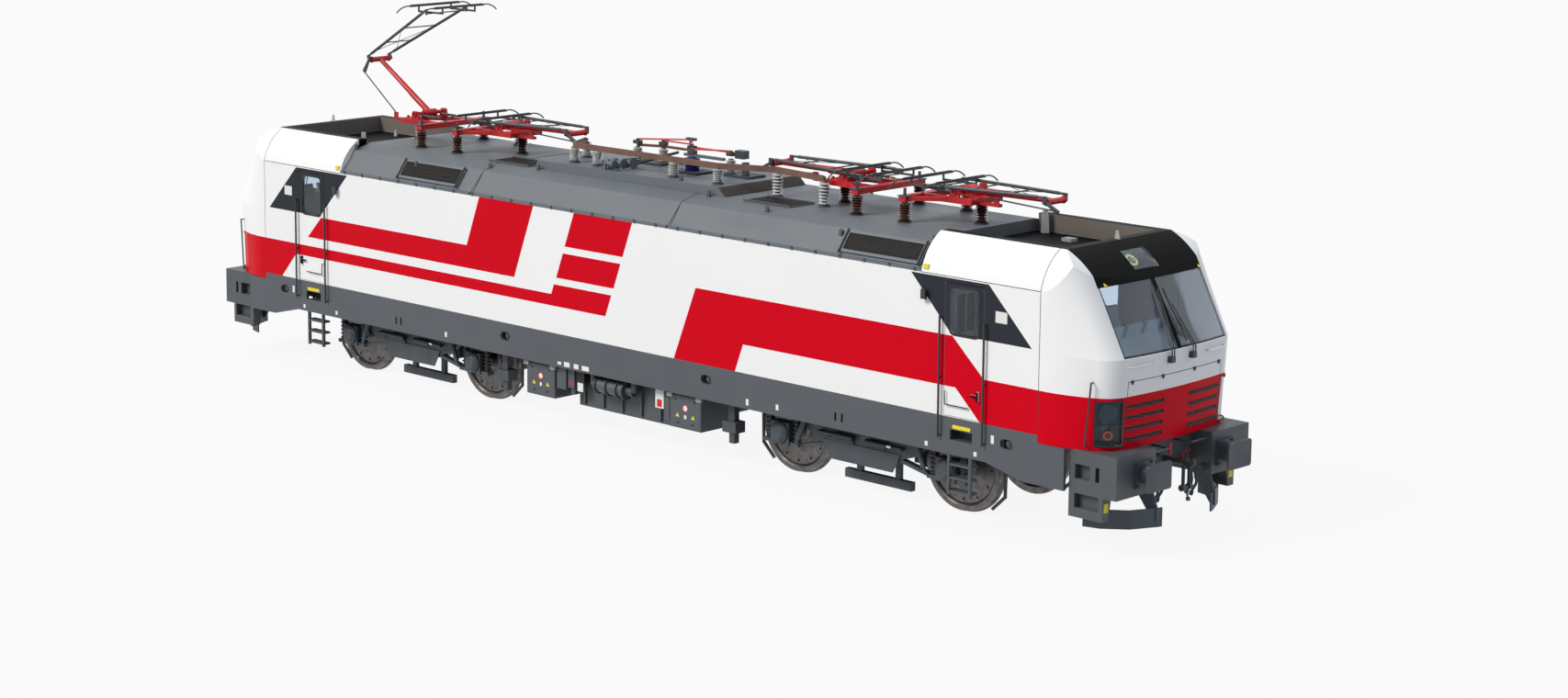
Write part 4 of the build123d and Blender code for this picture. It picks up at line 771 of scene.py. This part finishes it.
# %% [markdown]
# Cleaners stand on the buffers and hold the bright rails under the screens. The flap over the
# coupler hangs on small hinges along its upper edge. Black strips above and below the air slots,
# and a dark plate behind them, are painted shade that makes the slots look deep. Yellow signs warn
# of the wire overhead.

# %% Nose fittings
GRAB_Z, GRAB_OUT = 2.46, 0.045          # height of the grab rails, and how far they stand off
# The last value is how far the painted-shade strips sit from each slot's edges.
SLOT_FOOT, SLOT_STEP, SLOT_HEIGHT, SHADE_STRIP_GAP = 1.490, 0.142, 0.030, 0.004


def front_x(y, z):
    """Where the nose's front is, below the screens."""
    middle = 9.060 + 0.070 * (z - 1.384) / 1.176
    return middle - 0.065 * (y / 1.08) ** 2


grabs, hinges, slot_shade, signs = (bmesh.new() for _ in range(4))
for side in (-1, 1):
    inner, outer = [(front_x(y, GRAB_Z) + GRAB_OUT, side * y, GRAB_Z) for y in (0.58, 1.0)]
    bar(grabs, inner, outer, 0.011, 10)
    for (x, y, z), back in ((inner, 0.0), (outer, 0.0), (outer, side * 0.02)):
        bar(grabs, (x, y, z), (x - 0.05, y + back, z), 0.011, 10)
    for y in (0.34, 0.93):
        x = front_x(y, FLAP_TOP)
        block(hinges, (x - 0.01, side * y - 0.022, 2.245), (x + 0.014, side * y + 0.022, 2.275))
        bar(hinges, (x + 0.010, side * y, 2.225), (x + 0.010, side * y, 2.248), 0.010, 8)
    # A dark plate behind the slots: painted shade, so that the slots look deep.
    block(slot_shade, (8.945, side * 0.24, 1.44), (8.955, side * 1.02, 1.98))
    for row in range(4):
        low = SLOT_FOOT + SLOT_STEP * row
        # Black strips above and below each slot: painted shade that widens the slot's dark.
        for z in (low - SHADE_STRIP_GAP, low + SLOT_HEIGHT + SHADE_STRIP_GAP):
            run(slot_shade, [(front_x(y, z) + 0.002, side * y, z) for y in evenly(0.262, 1.008, 7)], 0.008, 6)
    bar(signs, (8.66, side * 1.01, 3.452), (8.664, side * 1.01, 3.457), 0.034, 3)
for shapes in (grabs, hinges, slot_shade, signs):
    repeat(shapes, OTHER_END)
for x, y, z in corners([(6.13, 1.489, 3.43)]):
    block(signs, (x - 0.04, y - 0.019, z - 0.03), (x + 0.04, y + 0.019, z + 0.03))
fit(grabs, "screen_handrails", BRIGHT_STEEL)
fit(hinges, "flap_hinges", BLACK_AND_PAINTED_SHADE)
fit(slot_shade, "slot_painted_shade", BLACK_AND_PAINTED_SHADE)
fit(signs, "warning_signs", SIGN_YELLOW)

# %% [markdown]
# The driver's desk is a moulded console under a hood, with screens, a handwheel post and a
# telephone. Only its top shows through the windscreens.

# %% Driver's desk
HOOD_LIFT = 0.13
SCREEN_TILT = Matrix.Rotation(math.radians(18), 3, "Y")
bm, screens = bmesh.new(), bmesh.new()
for vert in block(bm, (8.36, -1.02, 2.38), (8.80, 0.70, 2.50)):
    if vert.co.x < 8.5 and vert.co.z > 2.45:
        vert.co.z += HOOD_LIFT
for y in (-0.86, -0.46, -0.06, 0.34):
    case = block(bm, (8.34, y - 0.15, 2.56), (8.385, y + 0.15, 2.80))
    face = block(screens, (8.332, y - 0.135, 2.575), (8.340, y + 0.135, 2.785))
    for shapes, verts in ((bm, case), (screens, face)):
        bmesh.ops.rotate(shapes, verts=verts, cent=(8.36, y, 2.56), matrix=SCREEN_TILT)
bar(bm, (8.10, 0.85, 1.484), (8.10, 0.85, 2.45), 0.03, 12)
block(bm, (6.17, -1.30, 1.60), (6.45, -0.55, 3.20))
block(bm, (6.17, 0.20, 1.60), (6.36, 1.30, 2.60))
block(bm, (7.66, 0.14, 2.66), (7.72, 0.56, 2.86))
for y in (-1.15, -0.95, -0.75):
    block(screens, (6.452, y - 0.07, 2.55), (6.460, y + 0.07, 3.05))
for shapes in (bm, screens):
    repeat(shapes, OTHER_END)
fit(bm, "desk_console", CAB_GREY_WITH_PAINTED_LIGHT)
fit(screens, "desk_screens", SCREEN_BLACK)

# %% [markdown]
# Signs carry no text here. Each is a thin printed plate, riveted or glued on, and left blank.

# %% Blank plates
SKIRT_FACE = -HALF_WIDTH - 0.0015
YELLOW_PLATES = ((6.78, 1.36, 0.30, 0.05), (-6.78, 1.36, 0.30, 0.05))       # x, z, width, height
END_PLATES = ((6.19, 1.06, 0.05, 0.06), (7.02, 1.055, 0.05, 0.06), (7.30, 1.30, 0.05, 0.11),
              (3.50, 1.10, 0.05, 0.08))
WHITE_PLATES = END_PLATES + tuple((-x, *rest) for x, *rest in END_PLATES) + (
    (2.93, 1.08, 0.05, 0.09), (-0.92, 1.045, 0.08, 0.04), (-0.76, 1.045, 0.12, 0.07),
    (-0.56, 1.045, 0.10, 0.07), (-0.36, 1.045, 0.15, 0.07))
for name, plates, finish in (("yellow_plates", YELLOW_PLATES, SIGN_YELLOW),
                             ("white_plates", WHITE_PLATES, SIGN_WHITE)):
    bm = bmesh.new()
    for x, z, width, height in plates:
        block(bm, (x - width / 2, SKIRT_FACE, z - height / 2), (x + width / 2, -1.50, z + height / 2))
    repeat(bm, OTHER_SIDE)
    fit(bm, name, finish)

# %% [markdown]
# The upper arm of a pantograph is a light frame of steel tubes. Thin wires cross between them and
# stop them from folding sideways. The collector head carries carbon strips, which wear instead of
# the contact wire.

# %% Pantographs
PAN_Z = 4.24                            # height of the lower arm's hinge
LOWER_LENGTH, UPPER_LENGTH = 1.46, 1.90
UP_RATIO = 0.87                         # the upper arm leans back by this share of the lower arm's angle
ANGLES = {1: 32.0, 2: 0.0, 3: 0.0, 4: 0.0}
INNER, BACK = (2, 3), (1, 2)
BASE = (0.0, 0.0)


def on_roof(number, pivot, angle, point):
    """Point (along, across, up) of a pantograph piece, turned about its pivot and put on the roof."""
    a = math.radians(angle)
    u = pivot[0] + point[0] * math.cos(a) - point[2] * math.sin(a)
    w = pivot[1] + point[0] * math.sin(a) + point[2] * math.cos(a)
    x = PAN_HINGE + u
    x = 2 * PAN_MIRROR - x if number in INNER else x
    return (-x if number in BACK else x, point[1], PAN_Z + w)


def pan_block(bm, number, pivot, low, high):
    """Block on a piece that stays level."""
    block(bm, on_roof(number, pivot, 0.0, low), on_roof(number, pivot, 0.0, high))


def pan_bars(number, pivot, angle, bars):
    """Bars on a piece, each given by its two ends, its radius and its sides."""
    bm = bmesh.new()
    for start, end, radius, sides in bars:
        bar(bm, on_roof(number, pivot, angle, start), on_roof(number, pivot, angle, end), radius, sides)
    return bm


def on_tube(share, side):
    """Point of the upper arm's tube, at that share of its length."""
    return (-UPPER_LENGTH * share, side * (0.220 + 0.200 * share), 0.070 - 0.015 * share)


WIRES = [shape for side in (-1, 1) for shape in (
    (on_tube(0.10, side), on_tube(0.58, -side), 0.005, 6),
    (on_tube(0.06, side), on_tube(0.94, side), 0.024, 10))]
COLLARS = [shape for side in (-1, 1) for shape in (
    ((0.0, side * 0.31, 0.0), (0.0, side * 0.34, 0.0), 0.048, 16),
    ((LOWER_LENGTH, side * 0.172, 0.0), (LOWER_LENGTH, side * 0.188, 0.0), 0.052, 16))]
COLLARS.append(((0.10, 0.0, -0.050), (0.55, 0.0, -0.052), 0.010, 8))
SPRINGS = [shape for side in (-1, 1) for shape in (
    ((-0.57, side * 0.66, -0.08), (-0.57, side * 0.66, 0.02), 0.022, 6),
    ((-0.40, side * 0.20, -0.03), (-0.05, side * 0.20, -0.03), 0.020, 10),
    ((-0.40, side * 0.20, -0.03), (-0.51, side * 0.20, -0.03), 0.010, 8))]
for number, raised in ANGLES.items():
    a, b = math.radians(raised), math.radians(UP_RATIO * raised)
    knee = (LOWER_LENGTH * math.cos(a), LOWER_LENGTH * math.sin(a))
    head = (knee[0] - UPPER_LENGTH * math.cos(b), knee[1] + UPPER_LENGTH * math.sin(b))
    bm = pan_bars(number, knee, -UP_RATIO * raised, WIRES)
    fit(bm, f"arm_wires_{number}", ARM_STEEL, f"pan_{number}_upper_arm")
    bm = bmesh.new()
    for u in (-0.29, 0.29):
        pan_block(bm, number, head, (u - 0.017, -0.50, 0.116), (u + 0.017, 0.50, 0.127))
    fit(bm, f"carbon_strips_{number}", BLACK_AND_PAINTED_SHADE, f"pan_{number}_head")
    bm = pan_bars(number, BASE, raised, COLLARS)
    fit(bm, f"arm_collars_{number}", PANTOGRAPH_RED, f"pan_{number}_lower_arm")
    bm = pan_bars(number, BASE, 0.0, SPRINGS)
    for y in (-0.66, 0.66):
        pan_block(bm, number, BASE, (-0.645, y - 0.075, -0.092), (-0.495, y + 0.075, -0.078))
    fit(bm, f"base_springs_{number}", ARM_STEEL)

# %% [markdown]
# The doors' windows are held in black rubber. One flat ring with round corners is drawn once for
# each door: a square is rounded, set inwards, and the middle taken out.

# %% Door gaskets
def round_frame(bm, low, high, y, radius, width, thickness):
    """Flat frame in a side wall, from a rounded rectangle with its middle taken out."""
    bmesh.ops.create_grid(bm, x_segments=1, y_segments=1, size=0.5)
    bmesh.ops.scale(bm, vec=(high[0] - low[0], high[1] - low[1], 1.0), verts=bm.verts)
    bmesh.ops.bevel(bm, geom=bm.verts[:], offset=radius, segments=6, profile=0.5, affect="VERTICES",
                    material=-1)
    middle = bm.faces[:]
    bmesh.ops.inset_region(bm, faces=middle, thickness=width, use_boundary=True, use_even_offset=True)
    bmesh.ops.delete(bm, geom=middle, context="FACES")
    made = bmesh.ops.extrude_face_region(bm, geom=bm.faces[:])["geom"]
    verts = [item for item in made if isinstance(item, bmesh.types.BMVert)]
    bmesh.ops.translate(bm, verts=verts, vec=(0.0, 0.0, thickness))
    centre = ((low[0] + high[0]) / 2, y, (low[1] + high[1]) / 2)
    upright = Matrix.Translation(centre) @ Matrix.Rotation(math.pi / 2, 4, "X")
    bmesh.ops.transform(bm, matrix=upright, verts=bm.verts)


for number, (sx, sy) in enumerate(((1, -1), (1, 1), (-1, -1), (-1, 1)), 1):
    bm = bmesh.new()
    round_frame(bm, (6.540, 2.575), (7.060, 3.240), -HALF_WIDTH, 0.085, 0.030, 0.006)
    bmesh.ops.scale(bm, vec=(sx, -sy, 1.0), verts=bm.verts)
    fit(bm, f"door_gasket_{number}", BLACK_AND_PAINTED_SHADE, f"cab_door_{number}")

# %% [markdown]
# Jacks lift the body at the oval holes in the skirt, on round bosses of the frame. The step pockets
# above the ladders have a floor and a dark back.

# %% Behind the skirt
bm = bmesh.new()
for x, y, z in corners([(2.125, 1.47, 1.275), (7.53, 1.47, 1.275)]):
    out = math.copysign(1.0, y)
    inner = y - 0.08 * out
    bar(bm, (x + 0.02, inner, z), (x + 0.02, y, z), 0.052, 20)
    bar(bm, (x + 0.02, y, z), (x + 0.02, y + 0.012 * out, z), 0.03, 6)
    block(bm, (x - 0.13, inner, z - 0.09), (x + 0.13, inner - 0.01 * out, z + 0.09))
for x, y, z in corners([(6.775, 1.455, 1.18)]):
    inner = y - math.copysign(0.14, y)
    block(bm, (x - 0.19, inner, z - 0.02), (x + 0.19, y, z))
    block(bm, (x - 0.40, inner, z), (x + 0.40, inner + 0.006, z + 0.18))
fit(bm, "skirt_fittings", BOGIE_GREY)

# %% [markdown]
# The equipment boxes under the middle hold converters and batteries. Their lids hang on two
# clamps, are held by bolts, and have a finned strip that lets warm air out.

# %% Equipment lids
LID_Y = -1.405
fins, clamps, triangles, discs, rims, bolts = (bmesh.new() for _ in range(6))
for x0, x1 in ((-1.75, -1.13), (1.30, 1.93)):
    for x in evenly(x0 + 0.02, x1 - 0.02, 26):
        block(fins, (x - 0.005, -1.418, 0.925), (x + 0.005, -1.40, 0.975))
    block(fins, (x0 + 0.01, LID_Y, 0.47), (x1 - 0.01, -1.400, 0.92))
    for x in (x0 + 0.02, x1 - 0.02):
        block(clamps, (x - 0.05, -1.43, 0.945), (x + 0.05, -1.40, 0.975))
        for step in (-0.035, 0.0, 0.035):
            block(clamps, (x + step - 0.010, -1.445, 0.895), (x + step + 0.010, -1.40, 0.955))
    for x, z in ((x0 + 0.12, 0.87), (x1 - 0.12, 0.87), (x0 + 0.17, 0.53), (x1 - 0.17, 0.53)):
        bar(bolts, (x, LID_Y, z), (x, -1.416, z), 0.014, 6)
    for x in (x0 + 0.16, x1 - 0.16):
        bar(triangles, (x, LID_Y, 0.635), (x, -1.407, 0.635), 0.042, 3)
    x = (x0 + x1) / 2
    bar(rims, (x, LID_Y, 0.755), (x, -1.4065, 0.755), 0.056, 20)
    bar(discs, (x, -1.4065, 0.755), (x, -1.408, 0.755), 0.040, 20)
    block(discs, (x - 0.022, LID_Y, 0.60), (x + 0.022, -1.407, 0.655))
block(fins, (1.19, -1.40, 0.52), (1.285, -1.22, 0.86))
block(fins, (-0.88, -1.37, 0.66), (-0.74, -1.22, 0.95))
bar(fins, (-0.81, -1.30, 0.56), (-0.81, -1.30, 0.66), 0.05, 16)
block(discs, (0.96, -1.36, 0.66), (1.13, -1.345, 0.93))
block(discs, (-0.70, -1.345, 0.63), (-0.58, -1.335, 0.76))
block(rims, (0.995, -1.362, 0.68), (1.095, -1.36, 0.79))
block(rims, (-0.87, -1.372, 0.72), (-0.75, -1.37, 0.75))
block(bolts, (-0.72, -1.35, 0.77), (-0.55, -1.22, 0.93))
for shapes, name, finish in (
        (fins, "box_lids", SKIRT_GREY), (clamps, "box_clamps", PALE_GLAZE),
        (triangles, "box_warnings", SIGN_YELLOW), (discs, "box_signs", SIGN_WHITE),
        (rims, "box_sign_rims", SIGNAL_RED), (bolts, "box_bolts", BLACK_AND_PAINTED_SHADE)):
    repeat(shapes, OTHER_SIDE)
    fit(shapes, name, finish)

# %% [markdown]
# An oil pump feeds the transformer through bent pipes with bolted flanges.

# %% Oil pump
PUMP_Y, PUMP_Z = -1.33, 0.80
bm = bmesh.new()
for x in (-0.24, -0.02, 0.20, 0.33):
    bar(bm, (x, PUMP_Y, PUMP_Z), (x + 0.022, PUMP_Y, PUMP_Z), 0.135, 24)
for near, far, thick, thin, sides in ((0.35, 0.50, 0.07, 0.055, 20), (-0.25, -0.36, 0.06, 0.05, 16)):
    bar(bm, (near, PUMP_Y, PUMP_Z), (far, PUMP_Y, PUMP_Z), thick, sides)
    bar(bm, (far, PUMP_Y, PUMP_Z), (far, PUMP_Y, 1.10), thin, 16)
for dy, dz in ring_of(8, 0.118):
    for x in (-0.245, 0.325):
        bar(bm, (x - 0.008, PUMP_Y + dy, PUMP_Z + dz), (x + 0.035, PUMP_Y + dy, PUMP_Z + dz), 0.010, 6)
repeat(bm, OTHER_SIDE)
fit(bm, "pump_pipes", BOGIE_GREY)

# %% [markdown]
# A post with a sand box stands in front of each bogie, on the body. The bogies themselves carry
# track brakes just over the rail, leaning dampers and bolted bearing covers.

# %% Bogie fittings
bm = bmesh.new()
for x, y, z in corners([(2.40, 1.22, 0.98)]):
    block(bm, (x - 0.06, y - 0.05, z - 0.34), (x + 0.06, y + 0.05, z + 0.42))
    block(bm, (x - 0.13, y - 0.10, z - 0.46), (x + 0.13, y + 0.10, z - 0.30))
    block(bm, (x - 0.04, y - 0.05, z - 0.62), (x + 0.06, y + 0.05, z - 0.45))
fit(bm, "sand_posts", BOGIE_GREY)

AXLE_U = 1.5                            # an axle's distance from the bogie's pivot
WHEEL_Z = (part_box("wheelset_1")[0].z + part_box("wheelset_1")[1].z) / 2
for number, x0 in ((1, -4.75), (2, 4.75)):
    bm, bright = bmesh.new(), bmesh.new()
    for side in (-1, 1):
        y = side * 0.76
        block(bm, (x0 - 0.60, y - 0.045, 0.115), (x0 + 0.60, y + 0.045, 0.24))
        for x in (x0 - 0.35, x0 + 0.35):
            block(bm, (x - 0.045, y - 0.03, 0.24), (x + 0.045, y + 0.03, 0.66))
            block(bm, (x - 0.06, y - 0.05, 0.60), (x + 0.06, side * 1.05, 0.70))
        for vert in block(bm, (x0 - 0.70, side * 1.142, 0.44), (x0 + 0.70, side * 1.162, 0.70)):
            if vert.co.z < 0.5:
                vert.co.x += math.copysign(0.14, x0 - vert.co.x)
        for end in (-1, 1):
            x = x0 + end * AXLE_U
            for dx, dz in ring_of(6, 0.122):
                bar(bm, (x + dx, side * 1.205, WHEEL_Z + dz), (x + dx, side * 1.237, WHEEL_Z + dz), 0.013, 6)
            bar(bm, (x - end * 0.36, side * 1.19, 0.62), (x - end * 0.52, side * 1.19, 1.02), 0.040, 14)
            bar(bm, (x - end * 0.335, side * 1.19, 0.56), (x - end * 0.36, side * 1.19, 0.62), 0.024, 10)
            block(bm, (x - end * 0.50, side * 1.09, 1.00), (x - end * 0.56, side * 1.21, 1.05))
        bar(bright, (x0 + 0.48, side * 1.19, 0.80), (x0 + 0.57, side * 1.19, 0.80), 0.027, 12)
        block(bm, (x0 - 0.62, side * 1.135, 0.705), (x0 - 0.14, side * 1.165, 0.745))
        for dx in (-0.66, -0.4, 0.0, 0.4, 0.66):
            bar(bm, (x0 + dx, side * 1.138, 0.67), (x0 + dx, side * 1.150, 0.67), 0.014, 6)
        for dx in (-0.19, 0.19):
            for low, high in ((0.895, 0.925), (1.345, 1.374)):
                bar(bm, (x0 + dx, side * 1.075, low), (x0 + dx, side * 1.075, high), 0.15, 20)
    fit(bm, f"bogie_fittings_{number}", BOGIE_GREY, f"bogie_{number}")
    fit(bright, f"damper_rods_{number}", BRIGHT_STEEL, f"bogie_{number}")

# %% [markdown]
# Bolted bases hold the buffers on the end boxes. Between them are the red cocks of the brake pipes
# and the bar that a shunter holds while coupling.

# %% Buffer beam
BUFFER_Y, BUFFER_Z = 0.875, 1.088
bm, red, yellow = bmesh.new(), bmesh.new(), bmesh.new()
for side in (-1, 1):
    y = side * BUFFER_Y
    for dy in (-0.14, 0.14):
        for z in (BUFFER_Z - 0.14, BUFFER_Z + 0.14):
            bar(bm, (9.258, y + dy, z), (9.280, y + dy, z), 0.018, 6)
    for x in (9.30, 9.345, 9.385):
        bar(bm, (x, y, BUFFER_Z), (x + 0.010, y, BUFFER_Z), 0.125, 24)
    run(bm, [(9.16, side * 0.60, 1.30), (9.16, side * 0.24, 1.30), (8.90, side * 0.24, 1.30)], 0.014, 10)
    for y in (0.32, 0.42):
        bar(red, (8.985, side * y, 1.035), (8.985, side * y, 1.115), 0.009, 8)
        bar(red, (8.985, side * y, 1.11), (9.03, side * y, 1.16), 0.011, 8)
    block(yellow, (9.021, side * 1.40, 0.62), (9.024, side * 1.31, 0.74))
    bar(bm, (9.10, side * 0.605, 0.90), (9.10, side * 0.52, 0.90), 0.05, 12)
block(red, (9.13, -0.20, 1.20), (9.15, -0.17, 1.36))
for y in (-0.075, 0.075):
    bar(bm, (9.27, y - 0.03, 0.77), (9.27, y + 0.03, 0.77), 0.045, 10)
bar(bm, (9.27, 0.0, 0.77), (9.31, 0.0, 0.62), 0.014, 8)
bar(bm, (9.31, 0.0, 0.60), (9.31, 0.0, 0.64), 0.03, 10)
block(bm, (8.901, -0.17, 0.99), (8.925, 0.17, 1.19))
for y in (-0.13, 0.13):
    for z in (1.02, 1.16):
        bar(bm, (8.925, y, z), (8.945, y, z), 0.016, 6)
for shapes in (bm, red, yellow):
    repeat(shapes, OTHER_END)
fit(bm, "beam_fittings", BUFFER_SLATE)
fit(red, "brake_cock_handles", SIGNAL_RED)
fit(yellow, "step_plates", SIGN_YELLOW)
